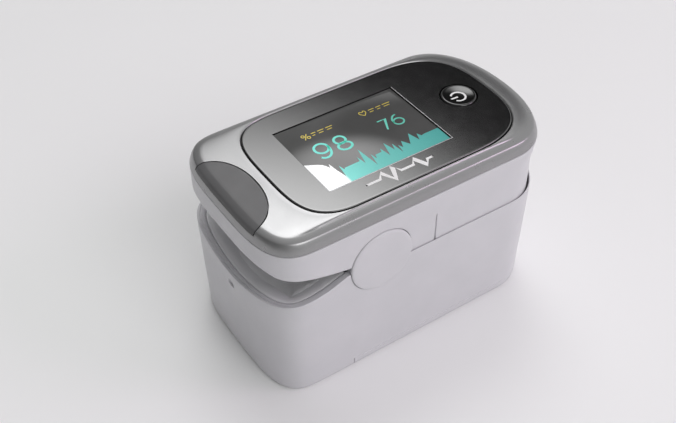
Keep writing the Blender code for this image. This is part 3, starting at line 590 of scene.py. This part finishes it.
rings.append(ring(BODY, lambda p: inner(p) - 0.12, lambda p: lip(p)))
rings.append(ring(BODY, lambda p: inner(p), lambda p: lip(p) + 0.12))
rings.append(ring(BODY, lambda p: inner(p), lambda p: max(lip(p) + 0.6, 28.2)))
rings.append(ring(BODY, lambda p: inner(p) + 0.1, 29.2))
upper = rings_object("shell_upper", rings, WHITE)
boolean(upper, rings_object("cut", [ring(PLAIN, 1.6, 30.2), ring(PLAIN, 1.6, 36.0)], GAP))
boolean(upper, cut_box(-6.2, 2.2, -3.3, 3.3, 26.0, 33.0))
boolean(upper, cut_box(11.6, 13.6, -7.0, 7.0, 26.0, 33.0))
# the narrow upright groove in each side wall, a little wider at its foot
for s in (1, -1):
    groove = [[(MARK_X + dx * w, s * (16.25 - SKIRT_INSET * k - 0.26 + dy), z) for dx, dy in ((-0.5, 1.5), (-0.5, 0.06), (-0.3, 0.0), (0.3, 0.0), (0.5, 0.06), (0.5, 1.5))]
              for w, k, z in ((0.46, 1.0, 19.0), (0.42, 1.0, 22.2), (0.3, 0.75, 26.4), (0.26, 0.5, 27.3), (0.2, -0.4, 28.0))]
    if s < 0:
        groove = [list(reversed(g)) for g in groove]
    boolean(upper, rings_object("cut", groove, GAP))
for s in (1, -1):
    boolean(upper, turned("cut", [(CAP_R + 0.12, s * 13.8), (CAP_R + 0.12, s * 19.0)], (PIVOT_X, PIVOT_Z), "Y", GAP))
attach(upper, "clip_top")
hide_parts("upper_housing")

stop = cut_box(9.6, 10.8, -11.0, 11.0, 21.2, 29.3)
stop.name = "finger_stop_wall"
stop.data.materials[0] = WHITE_IN
bv = stop.modifiers.new("edge", "BEVEL")
bv.width = 0.2 * MM
bv.segments = 2
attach(stop, "clip_top")

# lugs of the upper half and ears of the base, round each pivot
for side, s in (("left", 1), ("right", -1)):
    ear = turned(f"ear_{side}", [(0.0, s * 14.0), (5.4, s * 14.0), (5.55, s * 14.15), (5.55, s * 15.7), (5.4, s * 15.8), (0.0, s * 15.8)],
                 (PIVOT_X, PIVOT_Z), "Y", WHITE_IN)
    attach(ear, "base")
    lug = turned(f"lug_{side}", [(0.0, s * 12.55), (4.1, s * 12.55), (4.25, s * 12.7), (4.25, s * 13.6), (4.1, s * 13.75), (0.0, s * 13.75)],
                 (PIVOT_X, PIVOT_Z), "Y", WHITE_IN)
    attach(lug, "clip_top")
    web = cut_box(PIVOT_X - 4.0, PIVOT_X + 4.0, min(s * 12.6, s * 13.7), max(s * 12.6, s * 13.7), PIVOT_Z, 30.0)
    web.name = f"lug_web_{side}"
    web.data.materials[0] = WHITE_IN
    bv = web.modifiers.new("edge", "BEVEL")
    bv.width = 0.15 * MM
    bv.segments = 2
    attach(web, "clip_top")
    cap = turned(
        f"pivot_disc_{side}",
        [(0.0, s * 15.9), (CAP_R - 0.1, s * 15.9), (CAP_R, s * 16.0), (CAP_R, s * 16.28), (CAP_R - 0.04, s * 16.38), (CAP_R - 0.14, s * 16.46),
         (CAP_R - 0.3, s * 16.505), (CAP_R - 0.8, s * 16.53), (3.0, s * 16.56), (0.0, s * 16.575)],
        (PIVOT_X, PIVOT_Z), "Y", WHITE, n=128, angle=40,
    )
    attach(cap, "base")
    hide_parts(f"pivot_cap_{side}")

# ------------------------------------------------------------------ bezel
EDGE = [(1.7, 0.0), (0.14, 0.0), (0.04, 0.04), (0.0, 0.14), (0.1, 0.45), (0.22, 0.8), (0.38, 1.2), (0.53, 1.5), (0.66, 1.72), (0.75, 1.85), (0.84, 1.94), (0.95, 2.0), (1.15, 2.08), (1.4, 2.175), (1.65, 2.26), (1.85, 2.32), (2.0, 2.355)]
EDGE_IN = 2.0
GROW = 0.19


def morph(t, z):
    """A ring between the bezel's inner edge line (t=0) and the panel's opening (t=1)."""
    out = []
    for a, b in zip(PLAIN, PANEL):
        ax, ay = a[0] - a[2] * EDGE_IN, a[1] - a[3] * EDGE_IN
        bx, by = b[0] + b[2] * GROW, b[1] + b[3] * GROW
        h = z(a, b) if callable(z) else z
        out.append((ax + (bx - ax) * t, ay + (by - ay) * t, h))
    return out


Z_EDGE, Z_IN = BEZEL_BOTTOM + 2.355, 34.97


def crown(t):
    return Z_EDGE + (Z_IN - Z_EDGE) * math.sin(math.pi / 2 * t) ** 0.9


bez = [ring(PLAIN, i, BEZEL_BOTTOM + h) for i, h in EDGE]
for k in range(1, 13):
    t = k / 12 * 0.93
    bez.append(morph(t, crown(t / 0.93)))
bez[-1] = ring(PANEL, -GROW - 0.2, Z_IN)
bez.append(ring(PANEL, -GROW - 0.16, Z_IN + 0.005))
bez.append(ring(PANEL, -GROW - 0.03, Z_IN - 0.11))
bez.append(morph(1.0, Z_IN - 0.16))
bez.append(morph(1.0, 33.9))
bez.append(morph(1.12, 33.9))
bez.append(morph(1.12, 32.6))
bez.append(ring(PLAIN, 2.2, 32.33))
bezel = rings_object("bezel_shell", bez, SILVER, closed=True, angle=38)


def grip_plan(grow, n=120):
    """The grip inlay's plan: a rounded crescent against the front edge."""
    pts = []
    cx, rx, ry = -28.6, 6.4 + grow, 9.35 + grow
    for k in range(n):
        a = math.tau * k / n
        c, s = math.cos(a), math.sin(a)
        pts.append((cx + rx * math.copysign(abs(c) ** (2 / 2.15), c), ry * math.copysign(abs(s) ** (2 / 2.15), s)))
    return pts


grip = bezel.copy()
grip.data = bezel.data.copy()
grip.name = "grip_shell"
bpy.context.scene.collection.objects.link(grip)
boolean(bezel, rings_object("cut", [[(x, y, z) for x, y in grip_plan(0.1)] for z in (33.55, 38.0)], GAP), angle=38)
boolean(grip, rings_object("cut", [[(x, y, z) for x, y in grip_plan(-0.12)] for z in (33.6, 38.0)], GAP), "INTERSECT", angle=38)
grip.data.materials.clear()
grip.data.materials.append(GRIP)
for p in grip.data.polygons:
    p.material_index = 0
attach(bezel, "clip_top")
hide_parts("top_bezel")
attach(grip, "clip_top")
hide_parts("front_grip_inlay")

# ------------------------------------------------------------------ panel, display, button
panel = rings_object(
    "panel_shell",
    [ring(PANEL, 0.2, 34.0), ring(PANEL, 0.0, 34.1), ring(PANEL, 0.0, 34.92), ring(PANEL, 0.015, 34.99), ring(PANEL, 0.055, 35.045), ring(PANEL, 0.13, LENS_TOP - 0.002), ring(PANEL, 0.16, LENS_TOP), ring(PANEL, 0.4, LENS_TOP)],
    LENS, angle=50,
)
boolean(panel, cut_box(SCREEN[0] - 0.1, SCREEN[1] + 0.1, -SCREEN[2] - 0.1, SCREEN[2] + 0.1, 33, 38), angle=50)
boolean(panel, turned("cut", [(3.38, 33.0), (3.38, 38.0)], BUTTON, "Z", GAP), angle=50)
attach(panel, "clip_top")
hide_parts("display_lens")

SEAT_Z = 33.92
# a near-black floor laid on the bezel's ledge under the narrow gap round the panel: painted shade, so the gap reads as
# a dark line
seat = rings_object("panel_gap_painted_shade_floor", [morph(1.1, SEAT_Z - 0.3), morph(1.004, SEAT_Z - 0.3), morph(1.004, SEAT_Z), morph(1.1, SEAT_Z)], GAP, closed=True, angle=30)
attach(seat, "clip_top")

face = cut_box(SCREEN[0], SCREEN[1], -SCREEN[2], SCREEN[2], 33.98, 34.9)
face.name = "display_face_plate"
face.data.materials[0] = GLASS
bv = face.modifiers.new("edge", "BEVEL")
bv.width = 0.06 * MM
bv.segments = 2
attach(face, "clip_top")
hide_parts("screen_glass")

INK_Z = 34.9


def prism(name, polys, z0, z1, mat, body="clip_top"):
    """Flat shapes given thickness: polys is a list of closed point lists."""
    bm = bmesh.new()
    for poly in polys:
        vs = [bm.verts.new((x * MM, y * MM, z0 * MM)) for x, y in poly]
        f = bm.faces.new(vs)
        f.normal_update()
    bmesh.ops.triangulate(bm, faces=bm.faces)
    done = bmesh.ops.extrude_face_region(bm, geom=list(bm.faces))
    for g in done["geom"]:
        if isinstance(g, bmesh.types.BMVert):
            g.co.z = z1 * MM
    bmesh.ops.recalc_face_normals(bm, faces=bm.faces)
    mesh = bpy.data.meshes.new(name)
    bm.to_mesh(mesh)
    bm.free()
    mesh.materials.append(mat)
    o = bpy.data.objects.new(name, mesh)
    bpy.context.scene.collection.objects.link(o)
    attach(o, body)
    return o


def stroke(points, width, closed=False, round_ends=6):
    """The outline of a line drawn with a round pen, as quads and end fans."""
    polys = []
    n = len(points)
    off = []
    for i in range(n):
        if closed:
            a, b = points[i - 1], points[(i + 1) % n]
        else:
            a, b = points[max(0, i - 1)], points[min(n - 1, i + 1)]
        dx, dy = b[0] - a[0], b[1] - a[1]
        d = math.hypot(dx, dy) or 1.0
        k = 1.0
        if (closed or 0 < i < n - 1):
            p0, p1 = points[i - 1], points[(i + 1) % n]
            u = (points[i][0] - p0[0], points[i][1] - p0[1])
            v = (p1[0] - points[i][0], p1[1] - points[i][1])
            lu, lv = math.hypot(*u) or 1, math.hypot(*v) or 1
            dot = max(-1, min(1, (u[0] * v[0] + u[1] * v[1]) / lu / lv))
            k = min(2.2, 1 / max(0.2, math.cos(math.acos(dot) / 2)))
        off.append((-dy / d * width / 2 * k, dx / d * width / 2 * k))
    m = n if closed else n - 1
    for i in range(m):
        j = (i + 1) % n
        polys.append([
            (points[i][0] + off[i][0], points[i][1] + off[i][1]),
            (points[j][0] + off[j][0], points[j][1] + off[j][1]),
            (points[j][0] - off[j][0], points[j][1] - off[j][1]),
            (points[i][0] - off[i][0], points[i][1] - off[i][1]),
        ])
    if not closed and round_ends:
        for i, sgn in ((0, 1), (n - 1, -1)):
            ox, oy = off[i]
            fan = []
            for k in range(round_ends + 1):
                a = math.pi * k / round_ends
                fan.append((points[i][0] + (ox * math.cos(a) - sgn * oy * math.sin(a) * -1), points[i][1] + (oy * math.cos(a) + sgn * ox * math.sin(a))))
            polys.append(fan)
    return polys


def ellipse(cx, cy, rx, ry, n=40, a0=0.0, a1=360.0):
    full = abs(a1 - a0) >= 360
    m = n if full else n + 1
    return [(cx + rx * math.cos(math.radians(a0 + (a1 - a0) * k / n)), cy + ry * math.sin(math.radians(a0 + (a1 - a0) * k / n))) for k in range(m)]


def smooth(points, per=6):
    out = []
    pts = [points[0]] + list(points) + [points[-1]]
    for i in range(1, len(pts) - 2):
        p0, p1, p2, p3 = (Vector(p) for p in pts[i - 1 : i + 3])
        for k in range(per):
            t = k / per
            out.append(0.5 * ((2 * p1) + (p2 - p0) * t + (2 * p0 - 5 * p1 + 4 * p2 - p3) * t * t + (3 * p1 - p0 - 3 * p2 + p3) * t**3))
    out.append(Vector(points[-1]))
    return [tuple(p) for p in out]


# big reading
w = 0.43
big = stroke(ellipse(-9.27, 1.12, 1.22, 1.24), w, True)
big += stroke(smooth([(-8.05, 1.1), (-8.08, 0.3), (-8.35, -0.55), (-8.85, -1.15), (-9.45, -1.38), (-10.05, -1.25), (-10.45, -0.85)]), w)
big += stroke(ellipse(-5.55, 1.33, 1.0, 1.0), w, True)
big += stroke(ellipse(-5.55, -0.43, 1.22, 0.95), w, True)
prism("reading_large", big, INK_Z + 0.002, INK_Z + 0.012, TEAL)
w = 0.3
small = stroke([(2.3, 1.82), (3.92, 1.82), (2.75, -0.78)], w)
small += stroke(ellipse(5.58, 0.02, 0.92, 0.84), w, True)
small += stroke(smooth([(4.66, 0.05), (4.74, 0.75), (5.05, 1.3), (5.5, 1.72), (6.1, 1.88)]), w)
prism("reading_small", small, INK_Z + 0.002, INK_Z + 0.012, TEAL)

# unit marks: a percent sign and a heart, each with plain dashes
w = 0.16
units = stroke(ellipse(-10.15, 5.42, 0.26, 0.3, 20), w, True) + stroke(ellipse(-9.35, 4.72, 0.26, 0.3, 20), w, True) + stroke([(-9.3, 5.75), (-10.2, 4.4)], w)
for x0, x1, y in ((-8.6, -7.7, 5.1), (-7.35, -6.1, 5.1), (-5.75, -4.4, 5.1)):
    units += stroke([(x0, y + 0.28), (x1, y + 0.28)], 0.17) + stroke([(x0, y - 0.3), (x1 - 0.35, y - 0.3)], 0.17)
heart = smooth([(1.75, 4.45), (1.2, 5.1), (1.15, 5.5), (1.42, 5.72), (1.75, 5.45), (2.08, 5.72), (2.35, 5.5), (2.3, 5.1), (1.76, 4.46)], 4)
units += stroke(heart, w)
for x0, x1, y in ((2.95, 4.1, 5.1), (4.45, 5.5, 5.1), (5.85, 7.4, 5.1)):
    units += stroke([(x0, y + 0.28), (x1, y + 0.28)], 0.17) + stroke([(x0, y - 0.3), (x1 - 0.35, y - 0.3)], 0.17)
prism("unit_marks", units, INK_Z + 0.002, INK_Z + 0.012, YELLOW)

top = [(-13.95, -1.0), (-12.9, -1.55), (-11.9, -2.15), (-11.4, -2.55), (-11.0, -3.2), (-10.74, -3.85), (-10.44, -2.9), (-10.2, -4.9), (-9.76, -6.95), (-9.34, -4.15),
       (-9.05, -5.4), (-8.8, -5.1), (-5.9, -5.05), (-5.7, -3.95), (-5.38, -5.95), (-4.5, -2.4), (-4.0, -7.4), (-3.46, -4.6), (-3.2, -6.1), (-2.9, -5.15), (-1.64, -5.1),
       (-1.34, -4.3), (-0.94, -6.6), (-0.1, -3.4), (0.5, -5.85), (1.0, -4.3), (1.3, -7.1), (1.62, -5.2), (2.0, -6.1), (2.65, -4.6), (3.5, -6.1), (4.0, -5.1), (4.8, -3.6),
       (5.4, -6.0), (5.96, -4.4), (6.35, -5.3), (6.9, -5.15), (9.8, -5.15)]
cols = []
for (xa, ya), (xb, yb) in zip(top, top[1:]):
    cols.append([(xa, -8.52), (xb, -8.52), (xb, yb), (xa, ya)])
prism("pulse_trace", cols, INK_Z + 0.001, INK_Z + 0.01, WAVE)

# plain pulse line printed on the panel, under the display
mark = [(-8.6, -10.8), (-5.9, -10.8), (-5.0, -9.6), (-3.75, -12.1), (-2.6, -9.3), (-1.85, -10.8), (0.6, -10.8), (1.35, -9.6), (2.5, -12.0), (3.3, -10.8), (4.5, -10.8)]
prism("panel_pulse_mark", stroke(mark, 0.46), LENS_TOP + 0.001, LENS_TOP + 0.012, PRINT)

# the window's edge in the panel: a light grey strip on its right and near sides only, a painted highlight standing in
# for the light that the edge's bevel catches there
edge_x, edge_y = SCREEN[1] + 0.17, -SCREEN[2] - 0.17
prism("window_edge_painted_highlight_strip", [[(edge_x, -edge_y - 0.3), (edge_x + 0.09, -edge_y - 0.2), (edge_x + 0.09, edge_y - 0.09), (edge_x, edge_y)],
                          [(edge_x, edge_y), (edge_x + 0.09, edge_y - 0.09), (SCREEN[0], edge_y - 0.09), (SCREEN[0] + 0.1, edge_y)]],
      LENS_TOP - 0.02, LENS_TOP + 0.018, WINDOW_EDGE_HIGHLIGHT)

# power button
prof = [(0.0, 34.97), (0.7, 34.98), (1.3, 35.01), (1.8, 35.06), (2.2, 35.12), (2.5, 35.17), (2.7, 35.195), (2.84, 35.19), (2.96, 35.15), (3.07, 35.06), (3.14, 34.9), (3.17, 34.6),
        (3.17, 33.8), (0.0, 33.8)]
button = turned("button_dome", prof, BUTTON, "Z", BLACK, n=128, angle=60)
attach(button, "button")
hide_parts("power_button")
DOME = curve_through([(r, z) for r, z in prof[:7]])


def on_dome(o, lift):
    for v in o.data.vertices:
        r = math.hypot(v.co.x / MM - BUTTON[0], v.co.y / MM - BUTTON[1])
        v.co.z += (DOME(r) + lift) * MM
    return o


sym = stroke(ellipse(BUTTON[0] - 0.22, BUTTON[1] - 0.2, 1.27, 1.27, 56, -142, 142), 0.34)
sym += stroke([(BUTTON[0] - 1.75, BUTTON[1] - 0.2), (BUTTON[0] - 1.0, BUTTON[1] - 0.2), (BUTTON[0] - 0.3, BUTTON[1] - 0.2)], 0.34)
mark_b = prism("button_power_mark", sym, 0.0, 0.012, PRINT, body="button")
on_dome(mark_b, 0.002)

# ------------------------------------------------------------------ finger pads
def pad_half(x, wide, narrow=8.9):
    return wide + (narrow - wide) * smoothstep(-16.8, -14.8, x)


def front_x(y, inset):
    b = WIDTH / 2 - inset
    u = min(0.9999, abs(y) / b)
    return -LENGTH / 2 + 9.8 - (9.8 - inset) * (1 - u**3.6) ** (1 / 3.6)


# the rim's height as seen from a point inside: by angle round the front corner
def rim_near(x, y):
    best = min(BODY, key=lambda p: (p[0] - x) ** 2 + (p[1] - y) ** 2)
    return RIM(best[4])


def lip_near(x, y):
    best = min(BODY, key=lambda p: (p[0] - x) ** 2 + (p[1] - y) ** 2)
    return LIP(best[4]) if best[0] < SKIRT_X else 24.2


def pad_sheet(name, kind, wide, inset, x_end, thickness, nx, ny, mat):
    """A grid over the pad's plan: rows run from the mouth inwards, so the rim row follows the shell's inner line."""
    top, bottom = [], []
    for i in range(nx + 1):
        u = i / nx
        for j in range(ny + 1):
            wv = -1 + 2 * j / ny
            wv = math.copysign(abs(wv) ** 0.85, wv)
            y0 = wv * wide
            xf = front_x(y0, inset)
            x = xf + (x_end - xf) * u**1.3
            h = pad_half(x, wide)
            y = wv * h
            if kind == "lower":
                inner_c = 16.2 + 1.75 * smoothstep(-20.0, -27.3, x)
                edge = rim_near(x, y) - 1.9 if x < -16 else 20.0
                edge = edge + (20.0 - edge) * smoothstep(-17.5, -14.5, x)
                v = min(1.0, abs(y) / (h * 0.82))
                z = inner_c + (edge - inner_c) * v**2.3
                # the front end stays just under the liner
                ends = smoothstep(3.2, 0.0, x - xf)
                z = z + (min(z, rim_near(xf, y) - 1.9) - z) * ends
            else:
                edge = lip_near(x, y) + 0.3 if x < -16 else 23.6
                edge = edge + (23.6 - edge) * smoothstep(-17.5, -14.5, x)
                v = min(1.0, abs(y) / h)
                z = 27.85 - (27.85 - min(edge, 27.85)) * v**2.4
            top.append((x, y, z))
    n1 = ny + 1
    faces = [(i * n1 + j, (i + 1) * n1 + j, (i + 1) * n1 + j + 1, i * n1 + j + 1) for i in range(nx) for j in range(ny)]
    o = finish_mesh(name, top, faces, mat, None)
    s = o.modifiers.new("t", "SOLIDIFY")
    s.thickness = thickness * MM
    s.offset = -1.0 if kind == "lower" else 1.0
    up = sum(p.normal.z for p in o.data.polygons)
    if up < 0:
        o.data.flip_normals()
    apply_all(o)
    o.data.set_sharp_from_angle(angle=math.radians(50))
    return o


lower_pad = pad_sheet("pad_lower", "lower", 13.7, 2.7, 8.0, 0.9, 46, 40, SILICONE)
boolean(lower_pad, cut_box(-4.3, 0.3, -2.3, 2.3, 12, 20), angle=50)
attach(lower_pad, "base")
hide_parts("lower_finger_pad")


def arch(x, y):
    """Underside of the upper pad: an arch over the finger, level along the clip."""
    half = 13.3 + (8.9 - 13.3) * smoothstep(-17.5, -14.2, x)
    v = min(1.0, abs(y) / half)
    side_z = 23.9 + 3.3 * smoothstep(-14.2, -22.0, x)
    return 27.9 - (27.9 - side_z) * v**2.3, half


def arch_sheet(name, x0, x1, nx, ny, thickness, mat):
    """The arch as a grid with rows across the clip, closed into a sheet of the given thickness."""
    low, high = [], []
    for i in range(nx + 1):
        x = x0 + (x1 - x0) * (i / nx)
        roll = 0.5 * smoothstep(x0 + 1.6, x0, x)      # the mouth end rolls up
        for j in range(ny + 1):
            w = -1 + 2 * j / ny
            w = math.copysign(abs(w) ** 0.8, w)
            z, half = arch(x, 0.0)
            front = 1.0 - 0.12 * smoothstep(x0 + 3.0, x0, x)
            y = w * half * front
            z = arch(x, w * half)[0] + roll * (1 - abs(w) ** 3)
            low.append((x + 1.1 * (1 - w * w) * -0.6 * smoothstep(x0 + 3, x0, x), y, z))
            top_z = min(z + thickness, 28.9)
            high.append((low[-1][0], y, top_z + (28.9 - top_z) * smoothstep(-21.0, -25.0, x)))
    n1 = ny + 1
    faces = []
    off = len(low)
    for i in range(nx):
        for j in range(ny):
            q = (i * n1 + j, (i + 1) * n1 + j, (i + 1) * n1 + j + 1, i * n1 + j + 1)
            faces.append(q)
            faces.append(tuple(off + v for v in reversed(q)))
    edge = [j for j in range(n1)] + [(i + 1) * n1 - 1 for i in range(1, nx + 1)] + [nx * n1 + j for j in range(ny - 1, -1, -1)] + [i * n1 for i in range(nx - 1, 0, -1)]
    for k in range(len(edge)):
        u, v = edge[k], edge[(k + 1) % len(edge)]
        faces.append((u, v, off + v, off + u))
    return finish_mesh(name, low + high, faces, mat, 50)


upper_pad = arch_sheet("pad_upper", -26.4, 8.0, 56, 44, 0.8, SILICONE)
boolean(upper_pad, cut_box(-4.3, 0.3, -2.3, 2.3, 25, 31), angle=50)
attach(upper_pad, "clip_top")
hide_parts("upper_finger_pad")

# the lining above the mouth: a shallow ledge between the upper shell's lip and the arch
ceiling = rings_object("mouth_ceiling", [
    [(x, y, 28.95) for x, y in [(-27.2, -8.5), (-26.4, -12.0), (-23.0, -13.7), (-14.4, -13.7), (-14.4, 13.7), (-23.0, 13.7), (-26.4, 12.0), (-27.2, 8.5)]],
    [(x, y, 29.15) for x, y in [(-27.2, -8.5), (-26.4, -12.0), (-23.0, -13.7), (-14.4, -13.7), (-14.4, 13.7), (-23.0, 13.7), (-26.4, 12.0), (-27.2, 8.5)]],
], WHITE_IN)
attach(ceiling, "clip_top")

# the tunnel's end in the base: a soft wall below the upper half's fingertip stop
end_wall = cut_box(8.02, 8.55, -8.7, 8.7, 15.3, 21.7)
end_wall.name = "tunnel_end_lower"
end_wall.data.materials[0] = SILICONE
bv = end_wall.modifiers.new("edge", "BEVEL")
bv.width = 0.2 * MM
bv.segments = 3
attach(end_wall, "base")

# liner round the mouth: it carries on from the rim's land and rolls down to the pad; its silicone is lighter than the
# pad's, partly painted light
LINER = [(1.6, -0.75), (1.6, -0.53), (1.64, -0.47), (1.75, -0.46), (2.1, -0.56), (2.7, -0.82), (3.4, -1.2), (4.1, -1.66), (4.8, -2.2), (5.5, -2.8), (6.1, -3.4), (6.3, -3.9), (5.0, -3.6), (3.0, -2.2)]


def liner_strip(name, stations, mat):
    n, verts, faces = len(LINER), [], []
    for p in stations:
        fade = smoothstep(-15.0, -17.5, p[0])
        for inset, dz in LINER:
            h = rim(p) + dz * (0.55 + 0.45 * fade) - 0.35 * (1 - fade)
            verts.append((p[0] - p[2] * inset, p[1] - p[3] * inset, h))
    for k in range(len(stations) - 1):
        for i in range(n):
            j = (i + 1) % n
            faces.append((k * n + i, k * n + j, (k + 1) * n + j, (k + 1) * n + i))
    faces.append(tuple(range(n)))
    faces.append(tuple(range((len(stations) - 1) * n, len(stations) * n)))
    return finish_mesh(name, verts, faces, mat, 50)


mouth_stations = sorted([p for p in BODY if p[0] < -14.9], key=lambda p: math.copysign(p[4], p[1]))
liner = liner_strip("mouth_liner", mouth_stations, SILICONE_LIGHTER_LIP)
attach(liner, "base")

# ------------------------------------------------------------------ flex and leads bend between the halves
def tube(name, points, radius, mat, sides=14, flat=None):
    """A round or flat section swept along points in an XZ plane; flat is (width along Y, thickness)."""
    rows = []
    for i, q in enumerate(points):
        a, b = Vector(points[max(0, i - 1)]), Vector(points[min(len(points) - 1, i + 1)])
        t = (b - a).normalized()
        side_v = Vector((0, 1, 0))
        up_v = side_v.cross(t).normalized()
        side_v = t.cross(up_v).normalized()
        row = []
        if flat:
            w, h = flat[0] / 2, flat[1] / 2
            for u, v in ((-w, -h), (w, -h), (w, h), (-w, h)):
                row.append(tuple(Vector(q) + side_v * u + up_v * v))
        else:
            for k in range(sides):
                ang = math.tau * k / sides
                row.append(tuple(Vector(q) + (side_v * math.cos(ang) + up_v * math.sin(ang)) * radius))
        rows.append(row)
    return rings_object(name, rows, mat, angle=40)


run = smooth([(14.6, 0, 14.2), (15.6, 0, 16.0), (15.2, 0, 20.0), (13.4, 0, 25.0), (12.6, 0, 28.6), (12.6, 0, 31.6)], 10)
flex = tube("flex_ribbon", run, 0.0, FLEX, flat=(5.0, 0.2))
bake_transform(flex)
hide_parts("sensor_flex")
for node, mat, y in (("battery_lead_positive", RED, 4.6), ("battery_lead_negative", DARK, -4.6)):
    run = smooth([(17.5, y * 1.3, 14.3), (17.4, y * 1.25, 18.0), (14.6, y * 1.1, 24.0), (12.6, y, 28.4), (12.6, y, 31.5)], 10)
    lead = tube(f"{node}_wire", run, 0.44, mat)
    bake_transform(lead)
    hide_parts(node)

# ------------------------------------------------------------------ carried-over CAD nodes get their own materials
SLOTS = {s["node"]: s["material_slot"] for s in frame["record"]["subparts"]}
FINISH = {
    "silver_paint": SILVER, "grip_grey": GRIP, "white_abs": WHITE_IN, "tinted_lens": LENS, "screen_glass": GLASS, "button_black": BLACK,
    "silicone_grey": SILICONE, "board_green": BOARD, "chip_black": CHIP, "steel": STEEL, "frame_grey": FRAME, "cell_jacket": CELL,
    "clear_window": CLEAR, "flex_amber": FLEX, "lead_red": RED, "lead_black": DARK,
}
for name, o in NODES.items():
    mat = FINISH[SLOTS[name]]
    if not o.material_slots:
        o.data.materials.append(mat)
    for sl in o.material_slots:
        sl.material = mat

# ------------------------------------------------------------------ floor, light, camera
def floor_material():
    m, nt, b = material("studio_floor")
    n = noise(nt, 9.0, 3.0)
    c = ramp(nt, n.outputs["Fac"], [(0.3, (0.865, 0.865, 0.867)), (0.7, (0.88, 0.88, 0.882))])
    nt.links.new(c.outputs["Color"], b.inputs["Base Color"])
    b.inputs["Roughness"].default_value = 0.6
    b.inputs["Specular IOR Level"].default_value = 0.2
    return m


fm = bpy.data.meshes.new("studio_floor")
S = 3.0
fm.from_pydata([(-S, -S, -0.00002), (S, -S, -0.00002), (S, S, -0.00002), (-S, S, -0.00002)], [], [(0, 1, 2, 3)])
fm.materials.append(floor_material())
floor = bpy.data.objects.new("studio_floor", fm)
bpy.context.scene.collection.objects.link(floor)


def area(name, location, target, size, power, colour=(1, 1, 1), size_y=None):
    L = bpy.data.lights.new(name, "AREA")
    L.energy = power
    L.color = colour
    L.shape = "RECTANGLE" if size_y else "DISK"
    L.size = size
    if size_y:
        L.size_y = size_y
    o = bpy.data.objects.new(name, L)
    o.location = location
    o.rotation_euler = (Vector(target) - Vector(location)).to_track_quat("-Z", "Y").to_euler()
    bpy.context.scene.collection.objects.link(o)
    return o


DOME_STOPS = [(0.0, grey(1.0)), (0.4, grey(0.98)), (1.0, grey(1.12))]
DOME_LEFT, DOME_LEVEL = 0.24, 0.73
PATCH = ((0.2604, 0.5111, 0.8192), 6.0, 21.0, 3.6)
DARK = ((0.602, 0.645, 0.469), 10.0, 19.0, 0.96)
area("key_front", (0.10, -1.25, 1.10), (0.0, 0.0, 0.0), 1.1, 7.0)
area("fill_right", (0.38, -0.33, 0.34), (0.0, 0.0, 0.0), 0.25, 0.45, colour=(1.0, 0.74, 1.0))

# studio dome: brighter overhead and to the right, dim on the mouth's side and near the horizon, with one soft bright patch
# high behind the object that the glossy top mirrors
world = bpy.data.worlds.new("studio")
bpy.context.scene.world = world
world.use_nodes = True
wn = world.node_tree
bg = wn.nodes["Background"]
tc = wn.nodes.new("ShaderNodeTexCoord")
sep = wn.nodes.new("ShaderNodeSeparateXYZ")
wn.links.new(tc.outputs["Generated"], sep.inputs["Vector"])


def math_node(op, a, b):
    n = wn.nodes.new("ShaderNodeMath")
    n.operation = op
    for i, v in enumerate((a, b)):
        if isinstance(v, (int, float)):
            n.inputs[i].default_value = v
        else:
            wn.links.new(v, n.inputs[i])
    return n.outputs["Value"]


def patch(direction, inner, outer, peak):
    """A round bright patch: full within inner degrees of a direction, gone past outer."""
    dot = wn.nodes.new("ShaderNodeVectorMath")
    dot.operation = "DOT_PRODUCT"
    wn.links.new(tc.outputs["Generated"], dot.inputs[0])
    dot.inputs[1].default_value = Vector(direction).normalized()
    m = map_range(wn, dot.outputs["Value"], math.cos(math.radians(outer)), math.cos(math.radians(inner)), 0.0, peak)
    m.interpolation_type = "SMOOTHSTEP"
    return m.outputs["Result"]


dome = ramp(wn, sep.outputs["Z"], DOME_STOPS, "EASE")
across_x = math_node("SUBTRACT", sep.outputs["X"], math_node("MULTIPLY", sep.outputs["Y"], 0.5))
side = map_range(wn, across_x, -0.9, 0.9, DOME_LEFT, 1.0)
level = math_node("MULTIPLY", math_node("MULTIPLY", side.outputs["Result"], dome.outputs["Color"]), DOME_LEVEL)
level = math_node("MULTIPLY", level, math_node("SUBTRACT", 1.0, patch(*DARK)))
level = math_node("ADD", level, patch(*PATCH))
bg.inputs["Color"].default_value = (1.0, 1.0, 1.0, 1.0)
wn.links.new(level, bg.inputs["Strength"])
bpy.context.scene.view_settings.view_transform = "Standard"

cam_data = bpy.data.cameras.new("camera")
cam_data.lens = 53.0
cam_data.sensor_width = 36.0
cam_data.clip_start = 0.005
cam = bpy.data.objects.new("camera", cam_data)
bpy.context.scene.collection.objects.link(cam)
R = Vector((0.83324069, -0.55282764, -0.00956814))
U = Vector((0.37781013, 0.5566429, 0.73987038))
F = Vector((0.40369476, 0.62010505, -0.6726814))
M = Matrix.Identity(4)
for i in range(3):
    M[i][0], M[i][1], M[i][2] = R[i], U[i], -F[i]
M[0][3], M[1][3], M[2][3] = -0.07633, -0.10666, 0.13638
cam.matrix_world = M
bpy.context.scene.camera = cam
